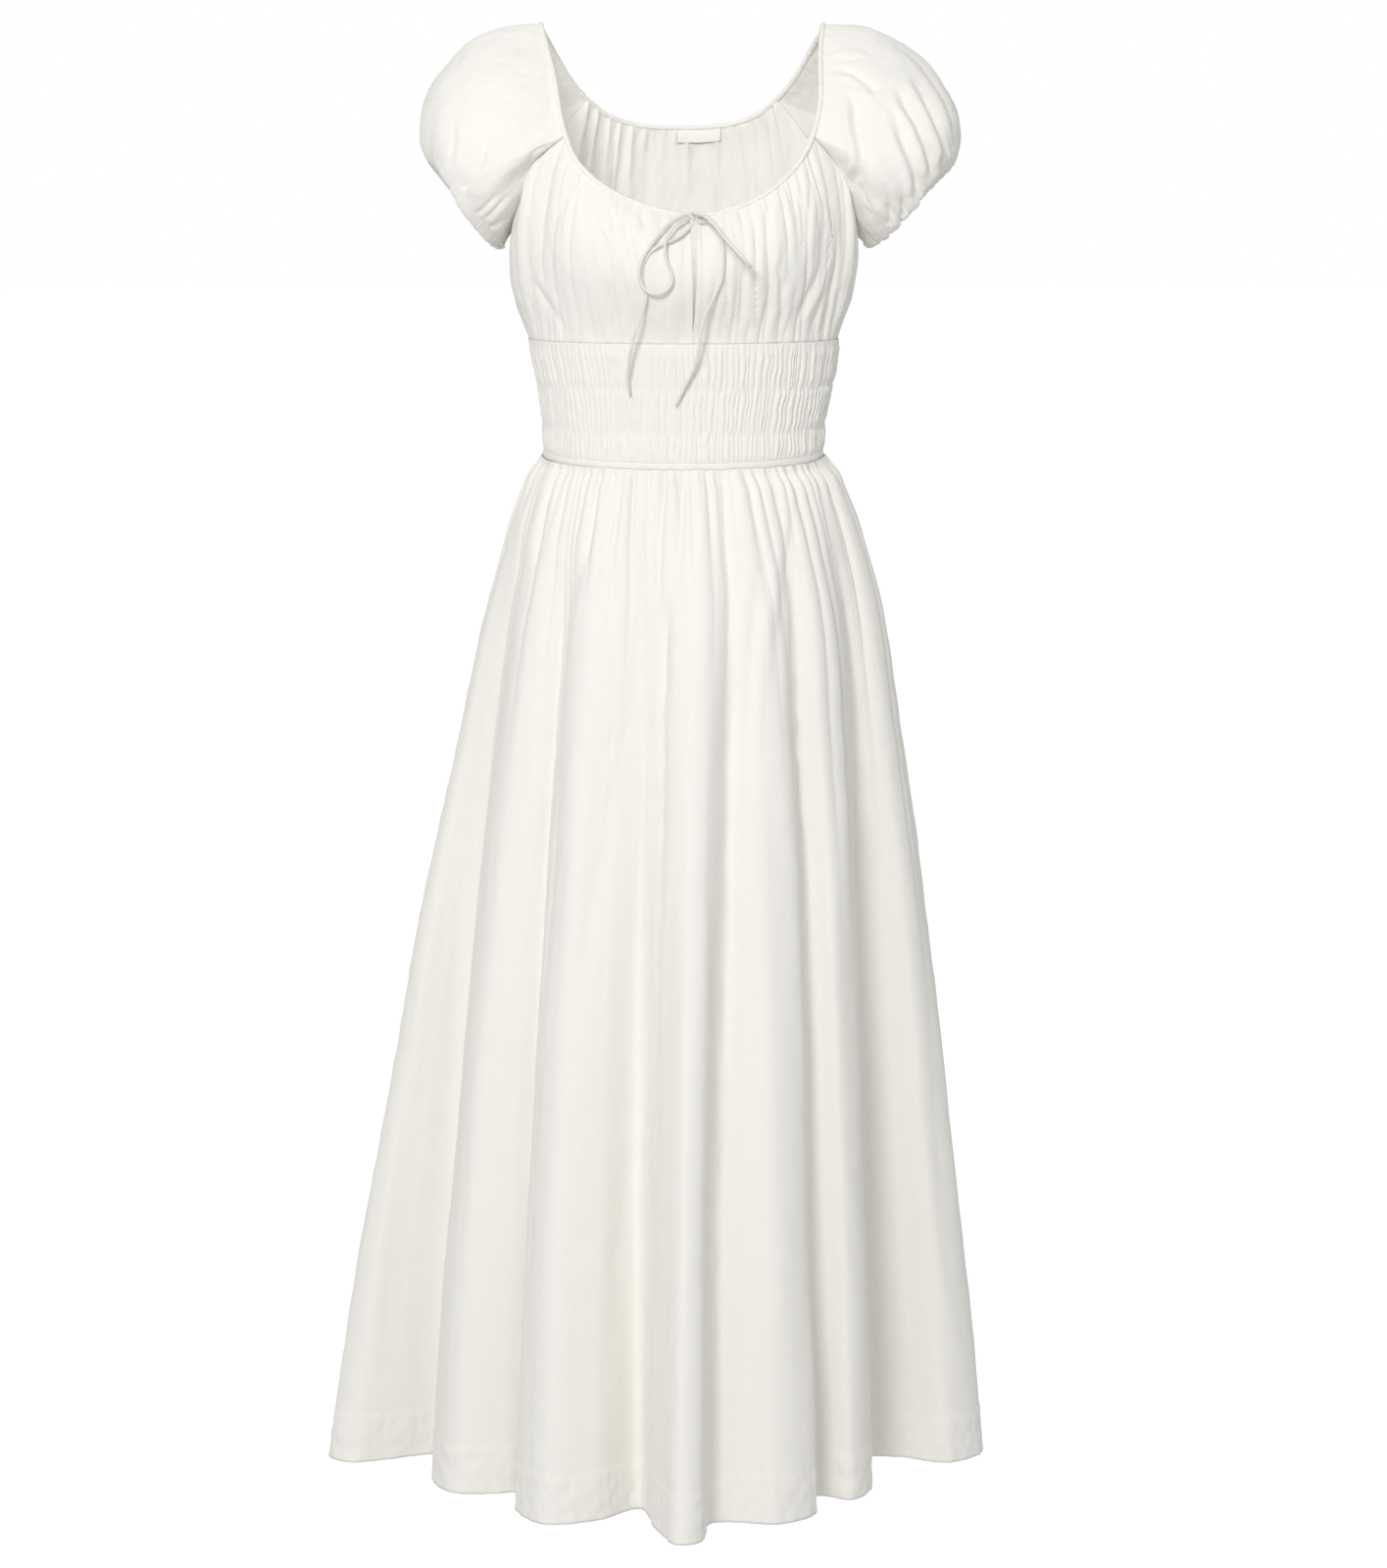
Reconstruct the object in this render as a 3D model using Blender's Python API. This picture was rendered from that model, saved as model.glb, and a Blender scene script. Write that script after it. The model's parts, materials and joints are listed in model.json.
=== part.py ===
"""Smocked midi dress, worn and filled out with no wearer: a gathered bodice with a slit and a tied drawstring,
a smocked waist, short raglan puff sleeves and a full gathered skirt.

Metres, +Z up. The front faces -Y and the wearer's left is +X. The origin is where the dress is held: midway
between the two shoulder points of its neckline. A "turn" goes once round the body: 0 at the wearer's right side
seam, 0.25 at the centre front, 0.5 at the left side seam and 0.75 at the centre back. A "drop" is a height
below the origin.
"""

import math

import bmesh
import bpy
import numpy as np

# Cloth and seams
CLOTH = 0.0013  # the thickness of a cloth wall
SEAM_GAP = 0.0003  # between two pieces that are sewn together
HALF_GAP = SEAM_GAP / 2
SHARP_FOLD = 35  # degrees: a fold sharper than this is shaded as a crease
ROUNDNESS = 2.2  # exponent of a body section: 2 is an ellipse, more is squarer
FINE = 481  # points on a line before it is read at equal spacing

# Heights below the shoulder points
SMOCK_TOP = 0.262
SMOCK_BOTTOM = 0.3545
WAIST_BAND_HEIGHT = 0.006
WAIST_BAND_THICK = 0.0022
WAIST_BAND_BULGE = 0.0008
WAIST_BAND_COLUMNS = 25
SKIRT_TOP = SMOCK_BOTTOM + WAIST_BAND_HEIGHT + 2 * SEAM_GAP
HEM = 1.240

# The body under the smocked waist, from its top to the waist seam
WAIST_SECTIONS = [
    # drop, half width, centre x, front depth, back depth
    (0.262, 0.1310, 0.001, 0.0990, 0.0960),
    (0.296, 0.1250, 0.002, 0.0935, 0.0905),
    (0.333, 0.1190, 0.001, 0.0890, 0.0870),
    (0.361, 0.1185, 0.001, 0.0880, 0.0870),
]

# The skirt's outline, without its folds
SKIRT_SECTIONS = [
    # drop, half width, centre x, front depth, back depth
    (0.361, 0.1190, 0.001, 0.0885, 0.0875),
    (0.374, 0.1285, 0.002, 0.0980, 0.0985),
    (0.391, 0.1345, 0.002, 0.1070, 0.1090),
    (0.425, 0.1465, 0.002, 0.1210, 0.1260),
    (0.458, 0.1560, 0.003, 0.1330, 0.1400),
    (0.508, 0.1690, 0.002, 0.1480, 0.1550),
    (0.559, 0.1800, 0.000, 0.1600, 0.1660),
    (0.644, 0.1970, -0.003, 0.1770, 0.1810),
    (0.814, 0.2275, -0.009, 0.2040, 0.2050),
    (0.987, 0.2535, -0.015, 0.2250, 0.2240),
    (1.161, 0.2780, -0.020, 0.2400, 0.2390),
    (1.240, 0.2860, -0.022, 0.2460, 0.2450),
]

# The hem seen from above, one row for each fold, from the right side seam across the front and round the back
HEM_FOLDS = [
    # near edge x, y, crest x, y, far edge x, y, valley x, y
    (-0.3090, 0.0140, -0.2880, -0.0080, -0.2540, 0.0040, -0.2080, 0.0200),
    (-0.2150, -0.0600, -0.1950, -0.1020, -0.1500, -0.1020, -0.1260, -0.0920),
    (-0.1400, -0.1500, -0.1150, -0.1960, -0.0720, -0.1850, -0.0360, -0.1500),
    (-0.0220, -0.2060, -0.0030, -0.2560, 0.0150, -0.2480, 0.0240, -0.1930),
    (0.0480, -0.1900, 0.0780, -0.1960, 0.1120, -0.1680, 0.1080, -0.1160),
    (0.1200, -0.1120, 0.1430, -0.1240, 0.1620, -0.0900, 0.1540, 0.0080),
    (0.1900, 0.0100, 0.2300, -0.0080, 0.2600, 0.0180, 0.2620, 0.0600),
    (0.2450, 0.1000, 0.2180, 0.1330, 0.1760, 0.1280, 0.1560, 0.1180),
    (0.1660, 0.1650, 0.1480, 0.2030, 0.1180, 0.1990, 0.1000, 0.1600),
    (0.0890, 0.2000, 0.0660, 0.2340, 0.0380, 0.2180, 0.0220, 0.1840),
    (0.0050, 0.2100, -0.0180, 0.2440, -0.0440, 0.2240, -0.0500, 0.1880),
    (-0.0680, 0.2060, -0.0960, 0.2330, -0.1240, 0.2080, -0.1230, 0.1650),
    (-0.1460, 0.1700, -0.1780, 0.1880, -0.2030, 0.1560, -0.1950, 0.1150),
    (-0.2230, 0.1120, -0.2560, 0.1120, -0.2760, 0.0850, -0.2720, 0.0480),
]
SIDE_SEAM_FOLDS = (0, 7)  # the rows whose near edges are the right and the left side seam
FOLD_GROWTH = 0.62  # how the folds grow from the waist to the hem, as a power of the way down

# Rows of points down the skirt
SKIRT_DROPS = (SKIRT_TOP, 0.370, 0.386, 0.412, 0.450, 0.505, 0.590, 0.710, 0.870, 1.050, HEM)
SKIRT_GATHERS = 30  # on each panel
SKIRT_GATHER_DEPTHS = [
    # drop, depth from crest to valley
    (0.361, 0.0022),
    (0.386, 0.0052),
    (0.450, 0.0060),
    (0.590, 0.0030),
    (0.870, 0.0000),
    (1.240, 0.0000),
]

# Smocking: rows of elastic with puffed ribs between them
SMOCK_RIBS = 32  # on each panel
SMOCK_ROWS = [
    # drop, puff outwards, rib height
    (0.2620, 0.0004, 0.0004),
    (0.2700, 0.0006, 0.0008),
    (0.2830, 0.0014, 0.0019),
    (0.2985, 0.0002, 0.0004),
    (0.3150, 0.0014, 0.0019),
    (0.3340, 0.0002, 0.0004),
    (0.3450, 0.0012, 0.0018),
    (0.3545, 0.0002, 0.0007),
]
SMOCK_LINING_COLUMNS = 24
SMOCK_LINING_DROPS = (SMOCK_TOP, 0.300, 0.330, SMOCK_BOTTOM)

# The neckline from the centre front over the shoulder to the centre back. Its left side is x + lean and its right
# side is x - lean.
NECK_POINTS = [
    # x, y, z, lean to the wearer's left
    (0.0000, -0.1000, -0.1566, 0.0093),
    (0.0260, -0.0990, -0.1530, 0.0100),
    (0.0530, -0.0960, -0.1435, 0.0085),
    (0.0750, -0.0905, -0.1300, 0.0062),
    (0.0924, -0.0830, -0.1120, 0.0055),
    (0.1023, -0.0735, -0.0915, 0.0060),
    (0.1080, -0.0610, -0.0684, 0.0062),
    (0.1110, -0.0430, -0.0419, 0.0044),
    (0.1139, -0.0250, -0.0215, 0.0017),
    (0.1172, -0.0080, -0.0045, 0.0004),
    (0.1185, 0.0000, 0.0000, 0.0000),
    (0.1168, 0.0080, -0.0060, 0.0000),
    (0.1081, 0.0300, -0.0223, 0.0000),
    (0.0955, 0.0480, -0.0445, 0.0000),
    (0.0810, 0.0620, -0.0620, 0.0000),
    (0.0633, 0.0740, -0.0760, 0.0000),
    (0.0430, 0.0835, -0.0832, 0.0000),
    (0.0200, 0.0880, -0.0860, 0.0000),
    (0.0000, 0.0890, -0.0864, 0.0000),
]
FRONT_NECK_ROW, SHOULDER_ROW, BACK_NECK_ROW = 5, 10, 14  # where the raglan seams and the shoulder point are
FRONT_LEAN = NECK_POINTS[0][3]

# The raglan seams, from the neckline to the underarm
FRONT_RAGLAN = [
    # x, y, z, lean to the wearer's left
    (0.1265, -0.0640, -0.1155, 0.0020),
    (0.1355, -0.0500, -0.1380, 0.0040),
    (0.1410, -0.0280, -0.1590, 0.0020),
]
BACK_RAGLAN = [
    # x, y, z, lean to the wearer's left
    (0.1000, 0.0660, -0.0850, 0.0000),
    (0.1210, 0.0600, -0.1180, 0.0000),
    (0.1365, 0.0370, -0.1530, 0.0000),
]
UNDERARM = (0.1430, 0.0000, -0.1720, 0.0000)

# Fullness of the bodice between the smocking and the neckline
FRONT_FULLNESS = 0.0215
BACK_FULLNESS = 0.0050
SIDE_FULLNESS = 0.0055
BODICE_GATHER_DEPTH = 0.0030
BODICE_ROWS = 8
SLIT_WIDTH_TOP = 0.0062

PATH_POINTS = 65  # on the path of one column of a bodice or a sleeve
FULL_WAY = (1.0, 1.4, 0.0)  # fullness goes more to the front and the back than to the sides
FRONT_NARROWING = 1.5  # and its power, which keeps the front's fullness off the side seams
FULL_HEIGHT = 0.8  # below 1 a bodice is fullest above the middle of its height
FULL_EASE = 0.6  # above 0 its fullness runs out softly at its lower edge
EDGE_GATHERS = 0.35  # the share of a gather's depth that is left at both edges of the bodice
SLIT_TAPER = 0.8  # below 1 the slit narrows late
SLIT_FOLLOW = 1 / 3  # how far the column beside the slit moves with its edge

# Columns of points, two for each gather, along each side's part of the neckline or of a raglan seam
FRONT_NECK_COLUMNS = 16
BACK_NECK_COLUMNS = 12
SLEEVE_FRONT_COLUMNS = 7
SLEEVE_BACK_COLUMNS = 5
RAGLAN_COLUMNS = 8

# Puff sleeves
SLEEVE_ROWS = 9
SLEEVE_GATHER_DEPTH = 0.0040
SLEEVE_TOP_GATHERS = 0.15  # the share of that depth at the sleeve's upper edge
SLEEVE_GATHER_GROWTH = 1.6  # the power with which it grows towards the cuff
CUFF_GATHERS = 0.5  # the share of it at the cuff, where it falls off
CUFF_FALL_OFF = 8  # with this power
UNDER_GATHERS = 0.2  # the share of it under the arm
PUFF_ROUNDNESS = 2.5  # above 2 the puff leaves its seams steeply
PUFF_LATE = 0.4  # how much later the front and the back puff out than the top
PUFF_EASE = 0.5  # and how much less steeply
SLEEVES = {
    # side of the body, top fullness, front and back fullness, cuff top, cuff bottom
    "right": (-1, 0.0385, 0.0250, (0.2120, -0.1125), (0.1510, -0.1850)),
    "left": (1, 0.0395, 0.0280, (0.2275, -0.1150), (0.1545, -0.1830)),
}
SLEEVE_TOP_WAY = (0.786, 0.0, 0.618)
SLEEVE_FRONT_WAY = (0.20, -0.97, -0.10)
CUFF_FRONT = (0.0, -0.0480, 0.0067)  # from the middle of a cuff to its front, which is a little higher

# Bindings and ties
BINDING_RADIUS = 0.0021
NECK_TRIM = BINDING_RADIUS + 2 * SEAM_GAP  # from the middle of the neck binding to the cloth
CORNER_TRIM = 1.25 * NECK_TRIM  # and to the start of a raglan seam, which meets the neckline at a slant
BINDING_END = 0.0034  # from the centre front to the end of the neck binding
NECK_BINDING_POINTS = 64
CUFF_BINDING_RADIUS = 0.0016
CUFF_BINDING_POINTS = 24
BINDING_SIDES = 6
TIE_SIDES = 8

# The bow. A strand's points are where it lies, after it leaves the knot the way its first row says. A loop goes
# back into the knot from its last point.
TIE_RADIUS = 0.00135
TIE_POINT_SPACING = 0.0062
KNOT_CENTRE = (0.0093, -0.1062, -0.1575)
KNOT_SIZE = (0.0042, 0.0038, 0.0042)  # half its width, depth and height
KNOT_SEGMENTS, KNOT_RINGS = 12, 8
LOOPS = {
    "tie_loop_right": [
        # x, y, z
        (-0.0076, -0.1145, -0.1607),
        (-0.0172, -0.1222, -0.1685),
        (-0.0253, -0.1244, -0.1800),
        (-0.0323, -0.1258, -0.1915),
        (-0.0349, -0.1264, -0.2025),
        (-0.0330, -0.1250, -0.2120),
        (-0.0284, -0.1240, -0.2177),
        (-0.0205, -0.1245, -0.2197),
        (-0.0126, -0.1252, -0.2167),
        (-0.0080, -0.1260, -0.2105),
        (-0.0084, -0.1267, -0.2035),
        (-0.0122, -0.1270, -0.1930),
        (-0.0138, -0.1268, -0.1820),
        (-0.0122, -0.1260, -0.1735),
        (-0.0055, -0.1210, -0.1640),
    ],
    "tie_loop_left": [
        # x, y, z
        (0.0214, -0.1120, -0.1575),
        (0.0300, -0.1190, -0.1662),
        (0.0365, -0.1240, -0.1752),
        (0.0455, -0.1280, -0.1852),
        (0.0520, -0.1315, -0.1925),
        (0.0560, -0.1375, -0.1965),
        (0.0555, -0.1450, -0.1960),
        (0.0510, -0.1485, -0.1905),
        (0.0440, -0.1480, -0.1830),
        (0.0355, -0.1440, -0.1740),
        (0.0275, -0.1360, -0.1640),
        (0.0180, -0.1240, -0.1560),
    ],
}
TAILS = {
    "tie_tail_right": [
        # x, y, z
        (0.0030, -0.1180, -0.1690),
        (-0.0060, -0.1213, -0.1755),
        (-0.0165, -0.1228, -0.1795),
        (-0.0248, -0.1222, -0.1850),
        (-0.0308, -0.1229, -0.1935),
        (-0.0333, -0.1233, -0.2035),
        (-0.0318, -0.1219, -0.2130),
        (-0.0292, -0.1197, -0.2215),
        (-0.0318, -0.1172, -0.2330),
        (-0.0358, -0.1150, -0.2448),
        (-0.0400, -0.1115, -0.2580),
        (-0.0425, -0.1075, -0.2695),
        (-0.0443, -0.1020, -0.2825),
        (-0.0452, -0.0990, -0.2910),
        (-0.0438, -0.0960, -0.3030),
    ],
    "tie_tail_left": [
        # x, y, z
        (0.0230, -0.1112, -0.1622),
        (0.0292, -0.1155, -0.1680),
        (0.0332, -0.1200, -0.1785),
        (0.0341, -0.1240, -0.1928),
        (0.0325, -0.1235, -0.2085),
        (0.0262, -0.1208, -0.2232),
        (0.0198, -0.1182, -0.2362),
        (0.0166, -0.1160, -0.2492),
        (0.0141, -0.1110, -0.2655),
        (0.0101, -0.1050, -0.2815),
        (0.0036, -0.1005, -0.2950),
        (-0.0053, -0.0975, -0.3125),
    ],
}
KNOT_WAYS = {
    # the way that a strand's first end leaves the knot, and its second
    "tie_loop_right": ((-0.90, -0.30, 0.30), (-0.62, -0.75, -0.15)),
    "tie_loop_left": ((0.80, -0.45, 0.40), (-0.10, -0.85, 0.52)),
    "tie_tail_right": ((-0.05, -0.60, -0.80), None),
    "tie_tail_left": ((0.80, -0.25, -0.55), None),
}

# The label inside the back neck, which is bare
LABEL_CENTRE_X = 0.0144
LABEL_WIDTH = 0.0370
LABEL_HEIGHT = 0.0110
LABEL_THICK = 0.0008
LABEL_TILT = 0.0004  # its lower edge lies this much further back
LABEL_TOP = 0.0018  # its upper edge is this far under the middle of the neck binding
LABEL_COLUMNS = 9

CLOTH_COLOUR = (0.905, 0.895, 0.860, 1.0)
TRIM_COLOUR = (0.915, 0.905, 0.870, 1.0)
LABEL_COLOUR = (0.900, 0.890, 0.870, 1.0)
CLOTH_ROUGHNESS, TRIM_ROUGHNESS, LABEL_ROUGHNESS = 0.85, 0.75, 0.80


def material(name, colour, roughness):
    """A cloth finish with no metal in it."""
    made = bpy.data.materials.new(name)
    made.use_nodes = True
    shader = made.node_tree.nodes["Principled BSDF"]
    shader.inputs["Base Color"].default_value = colour
    shader.inputs["Roughness"].default_value = roughness
    shader.inputs["Metallic"].default_value = 0.0
    return made


def unit(vectors):
    """Vectors of length 1."""
    vectors = np.asarray(vectors, float)
    return vectors / np.maximum(np.linalg.norm(vectors, axis=-1, keepdims=True), 1e-12)


def read_rows(table, places):
    """The columns of a table after its first, read smoothly at places between its rows."""
    table = np.asarray(table, float)
    x, y = table[:, 0], table[:, 1:]
    places = np.clip(np.atleast_1d(np.asarray(places, float)), x[0], x[-1])
    slope = np.gradient(y, x, axis=0)
    i = np.clip(np.searchsorted(x, places) - 1, 0, len(x) - 2)
    step = (x[i + 1] - x[i])[:, None]
    t = (places - x[i])[:, None] / step
    start = (2 * t**3 - 3 * t**2 + 1) * y[i] + (t**3 - 2 * t**2 + t) * step * slope[i]
    end = (3 * t**2 - 2 * t**3) * y[i + 1] + (t**3 - t**2) * step * slope[i + 1]
    return start + end


def spline(points, closed=False, per_span=24):
    """A smooth line through points, and the index on it of each point. It is a centripetal Catmull-Rom curve."""
    points = np.asarray(points, float)
    if closed:
        padded = np.concatenate([points[-1:], points, points[:2]])
    else:
        padded = np.concatenate([2 * points[:1] - points[1:2], points, 2 * points[-1:] - points[-2:-1]])
    knots = np.sqrt(np.maximum(np.linalg.norm(np.diff(padded, axis=0), axis=1), 1e-9))
    line = []
    for k in range(len(padded) - 3):
        p0, p1, p2, p3 = padded[k : k + 4]
        t1 = knots[k]
        t2 = t1 + knots[k + 1]
        t3 = t2 + knots[k + 2]
        t = np.linspace(t1, t2, per_span, endpoint=False)[:, None]
        a1 = (t1 - t) / t1 * p0 + t / t1 * p1
        a2 = (t2 - t) / (t2 - t1) * p1 + (t - t1) / (t2 - t1) * p2
        a3 = (t3 - t) / (t3 - t2) * p2 + (t - t2) / (t3 - t2) * p3
        b1 = (t2 - t) / t2 * a1 + t / t2 * a2
        b2 = (t3 - t) / (t3 - t1) * a2 + (t - t1) / (t3 - t1) * a3
        line.append((t2 - t) / (t2 - t1) * b1 + (t - t1) / (t2 - t1) * b2)
    last = points[:1] if closed else points[-1:]
    return np.concatenate([*line, last]), np.arange(len(points) + closed) * per_span


def lengths(line):
    """How far along a line each of its points is. A line is the first axis of an array."""
    steps = np.linalg.norm(np.diff(line, axis=0), axis=-1)
    return np.concatenate([np.zeros((1, *steps.shape[1:])), np.cumsum(steps, axis=0)])


def at_shares(line, shares):
    """Points of a line at shares of its length, from 0 to 1."""
    far = lengths(line)
    places = np.asarray(shares, float) * far[-1]
    return np.stack([np.interp(places, far, line[:, k]) for k in range(line.shape[1])], axis=1)


def body_angle(turn):
    """The angle of a turn round the body, from the wearer's right side through the front."""
    return math.pi + 2 * math.pi * np.asarray(turn, float)


def round_unit(angle):
    """A point of a rounded section of half width 1 and depth 1."""
    c, s = np.cos(angle), np.sin(angle)
    power = 2 / ROUNDNESS
    return np.stack([np.sign(c) * np.abs(c) ** power, np.sign(s) * np.abs(s) ** power], axis=-1)


def half_ring(section, start_turn, shares):
    """Points at equal spacing along half of a body section, from a side seam to the other."""
    half_width, centre_x, front, back = section
    shape = round_unit(body_angle(np.linspace(start_turn, start_turn + 0.5, FINE)))
    depth = front if start_turn < 0.25 else back
    line = np.stack([centre_x + half_width * shape[:, 0], depth * shape[:, 1]], axis=1)
    return at_shares(line, shares)


def with_height(flat_points, drop):
    """Flat points set at a drop below the origin."""
    return np.concatenate([flat_points, np.full((*flat_points.shape[:-1], 1), -drop)], axis=-1)


def normals(grid, closed=False):
    """Outward normals of a grid of points, whose rows go round the body towards +X in front and whose row index
    goes down the cloth."""
    if closed:
        padded = np.concatenate([grid[:, -1:], grid, grid[:, :1]], axis=1)
        across = padded[:, 2:] - padded[:, :-2]
    else:
        across = np.gradient(grid, axis=1)
    down = np.gradient(grid, axis=0)
    return unit(np.cross(down, across))


def lay_faces(bm, first, second, closed):
    """Triangles between two rows of vertices, which may hold different numbers of them."""
    spans = [len(row) if closed else len(row) - 1 for row in (first, second)]
    i = j = 0
    while i < spans[0] or j < spans[1]:
        a, b = first[i % len(first)], second[j % len(second)]
        step_first = j >= spans[1] or (i < spans[0] and (i + 1) / spans[0] <= (j + 1) / spans[1] + 1e-9)
        if step_first:
            i += 1
            bm.faces.new((a, first[i % len(first)], b))
        else:
            j += 1
            bm.faces.new((a, second[j % len(second)], b))


def wall(name, outer, inner, finish, closed=False):
    """A cloth wall as one closed solid: its outer rows, its inner rows, and rims that join their edges."""
    bm = bmesh.new()
    sheets = [[[bm.verts.new(point) for point in row] for row in sheet] for sheet in (outer, inner)]
    for sheet in sheets:
        for first, second in zip(sheet, sheet[1:]):
            lay_faces(bm, first, second, closed)
    for end in (0, -1):
        lay_faces(bm, sheets[0][end], sheets[1][end], closed)
        if not closed:
            lay_faces(bm, [row[end] for row in sheets[0]], [row[end] for row in sheets[1]], False)
    bmesh.ops.recalc_face_normals(bm, faces=bm.faces)
    mesh = bpy.data.meshes.new(name)
    bm.to_mesh(mesh)
    bm.free()
    mesh.shade_smooth()
    mesh.set_sharp_from_angle(angle=math.radians(SHARP_FOLD))
    mesh.materials.append(finish)
    made = bpy.data.objects.new(name, mesh)
    bpy.context.scene.collection.objects.link(made)
    return made


def tube(name, line, radius, sides, finish, closed=False):
    """A bent round rod along a line, as a curve with a bevel and filled ends."""
    curve = bpy.data.curves.new(name, "CURVE")
    curve.dimensions = "3D"
    curve.bevel_depth = radius
    curve.bevel_resolution = sides // 2 - 2
    curve.use_fill_caps = not closed
    points = curve.splines.new("POLY")
    points.points.add(len(line) - 1)
    points.points.foreach_set("co", np.concatenate([line, np.ones((len(line), 1))], axis=1).ravel())
    points.use_cyclic_u = closed
    curve.materials.append(finish)
    made = bpy.data.objects.new(name, curve)
    bpy.context.scene.collection.objects.link(made)
    return made


# Skirt


def hem_line():
    """The hem seen from above, in two lines of points: the front from side seam to side seam, then the back."""
    table = np.asarray(HEM_FOLDS, float).reshape(-1, 2)
    line, at = spline(table, closed=True)
    right, left = (at[4 * row] for row in SIDE_SEAM_FOLDS)
    return line[right : left + 1], line[left:]


def skirt_ring():
    """The skirt's surface all round, as rows of points, with both side seams among its columns."""
    shares = np.linspace(0.0, 1.0, 2 * SKIRT_GATHERS, endpoint=False)
    hem = np.concatenate([at_shares(half, shares) for half in hem_line()])
    hem_width, hem_centre, hem_front, hem_back = read_rows(SKIRT_SECTIONS, HEM)[0]
    hem_depth = np.where(hem[:, 1] < 0, hem_front, hem_back)
    folded = np.stack([(hem[:, 0] - hem_centre) / hem_width, hem[:, 1] / hem_depth], axis=1)
    waist = np.concatenate([half_ring((1.0, 0.0, 1.0, 1.0), turn, shares) for turn in (0.0, 0.5)])
    rows = []
    for drop in SKIRT_DROPS:
        half_width, centre_x, front, back = read_rows(SKIRT_SECTIONS, drop)[0]
        grown = ((drop - SKIRT_TOP) / (HEM - SKIRT_TOP)) ** FOLD_GROWTH
        shape = (1 - grown) * waist + grown * folded
        depth = np.where(shape[:, 1] < 0, front, back)
        rows.append(with_height(np.stack([centre_x + half_width * shape[:, 0], depth * shape[:, 1]], axis=1), drop))
    return np.stack(rows)


def skirt(finish):
    """Both skirt panels: small gathers under the waist seam run out into the large folds of the hem."""
    ring = skirt_ring()
    out = normals(ring, closed=True)
    depths = read_rows(SKIRT_GATHER_DEPTHS, SKIRT_DROPS)
    columns = ring.shape[1]
    ring = ring + out * (depths * waves(columns))[..., None]
    half = columns // 2
    for name, first in (("skirt_front", 0), ("skirt_back", half)):
        cut_wall(name, ring, out, first, first + half, finish)


def cut_wall(name, ring, out, first, last, finish):
    """A panel cut from a closed ring of columns, with half a seam gap taken off both of its edges."""
    picked = np.arange(first, last + 1) % ring.shape[1]
    outer = narrowed(ring[:, picked])
    return wall(name, outer, outer - out[:, picked] * CLOTH, finish)


def narrowed(grid):
    """A panel's points with its first and last columns moved in by half a seam gap."""
    grid = grid.copy()
    grid[:, 0] += HALF_GAP * unit(grid[:, 1] - grid[:, 0])
    grid[:, -1] += HALF_GAP * unit(grid[:, -2] - grid[:, -1])
    return grid


def waves(columns):
    """0 in the valleys and 1 on the crests of gathers that are two columns wide."""
    return np.arange(columns) % 2.0


# Waist


def waist_ring(drop, start_turn, columns, out_by=0.0):
    """Half of a body section between the smocking and the skirt, moved out by a distance."""
    half_width, centre_x, front, back = read_rows(WAIST_SECTIONS, drop)[0]
    section = (half_width + out_by, centre_x, front + out_by, back + out_by)
    return with_height(half_ring(section, start_turn, np.linspace(0.0, 1.0, columns)), drop)


def smocked_panel(name, start_turn, finish):
    """Half of the smocked waist: ribs raised on the outer side between rows of elastic, plain inside."""
    columns = 2 * SMOCK_RIBS + 1
    outer = []
    for drop, puff, height in SMOCK_ROWS:
        base = waist_ring(drop, start_turn, columns, puff)
        raised = waist_ring(drop, start_turn, columns, puff + height)
        outer.append(base + (raised - base) * waves(columns)[:, None])
    inner = [waist_ring(drop, start_turn, SMOCK_LINING_COLUMNS, -CLOTH) for drop in SMOCK_LINING_DROPS]
    outer = narrowed(np.stack(outer))
    inner = narrowed(np.stack(inner))
    outer[0, :, 2] -= HALF_GAP
    inner[0, :, 2] -= HALF_GAP
    return wall(name, outer, inner, finish)


def waist_band(finish):
    """The narrow band that covers the waist seam."""
    top = SMOCK_BOTTOM + SEAM_GAP
    outer = [(0.0, 0.0), (1 / 3, WAIST_BAND_BULGE), (2 / 3, WAIST_BAND_BULGE), (1.0, 0.0)]
    inner = [(0.0, -WAIST_BAND_THICK), (1.0, -WAIST_BAND_THICK)]
    sheets = []
    for sheet in (outer, inner):
        rows = []
        for share, out_by in sheet:
            drop = top + share * WAIST_BAND_HEIGHT
            halves = [waist_ring(drop, turn, WAIST_BAND_COLUMNS, out_by)[:-1] for turn in (0.0, 0.5)]
            rows.append(np.concatenate(halves))
        sheets.append(rows)
    return wall("waist_band", *sheets, finish, closed=True)


# Neckline and raglan seams


def on_side(rows, side):
    """Rows of x, y, z and lean as points on one side of the body."""
    rows = np.asarray(rows, float)
    return np.stack([side * rows[:, 0] + rows[:, 3], rows[:, 1], rows[:, 2]], axis=1)


def neck_parts(side):
    """The neckline on one side in four lines: bodice front, sleeve front, sleeve back, bodice back."""
    points = on_side(NECK_POINTS, side)
    whole = np.concatenate([points, on_side(NECK_POINTS, -side)[-2:0:-1]])
    line, at = spline(whole, closed=True)
    cuts = [at[row] for row in (0, FRONT_NECK_ROW, SHOULDER_ROW, BACK_NECK_ROW, len(points) - 1)]
    return [line[a : b + 1] for a, b in zip(cuts, cuts[1:])]


def raglan(side, behind):
    """A raglan seam from just under the neck binding to the underarm."""
    neck = NECK_POINTS[BACK_NECK_ROW if behind else FRONT_NECK_ROW]
    between = BACK_RAGLAN if behind else FRONT_RAGLAN
    line = spline(on_side([neck, *between, UNDERARM], side))[0]
    total = lengths(line)[-1]
    return at_shares(line, np.linspace(CORNER_TRIM / total, 1.0, FINE))


def edge_points(part, intervals):
    """Evenly spaced points along a line, both ends included."""
    return at_shares(part, np.linspace(0.0, 1.0, intervals + 1))


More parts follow.
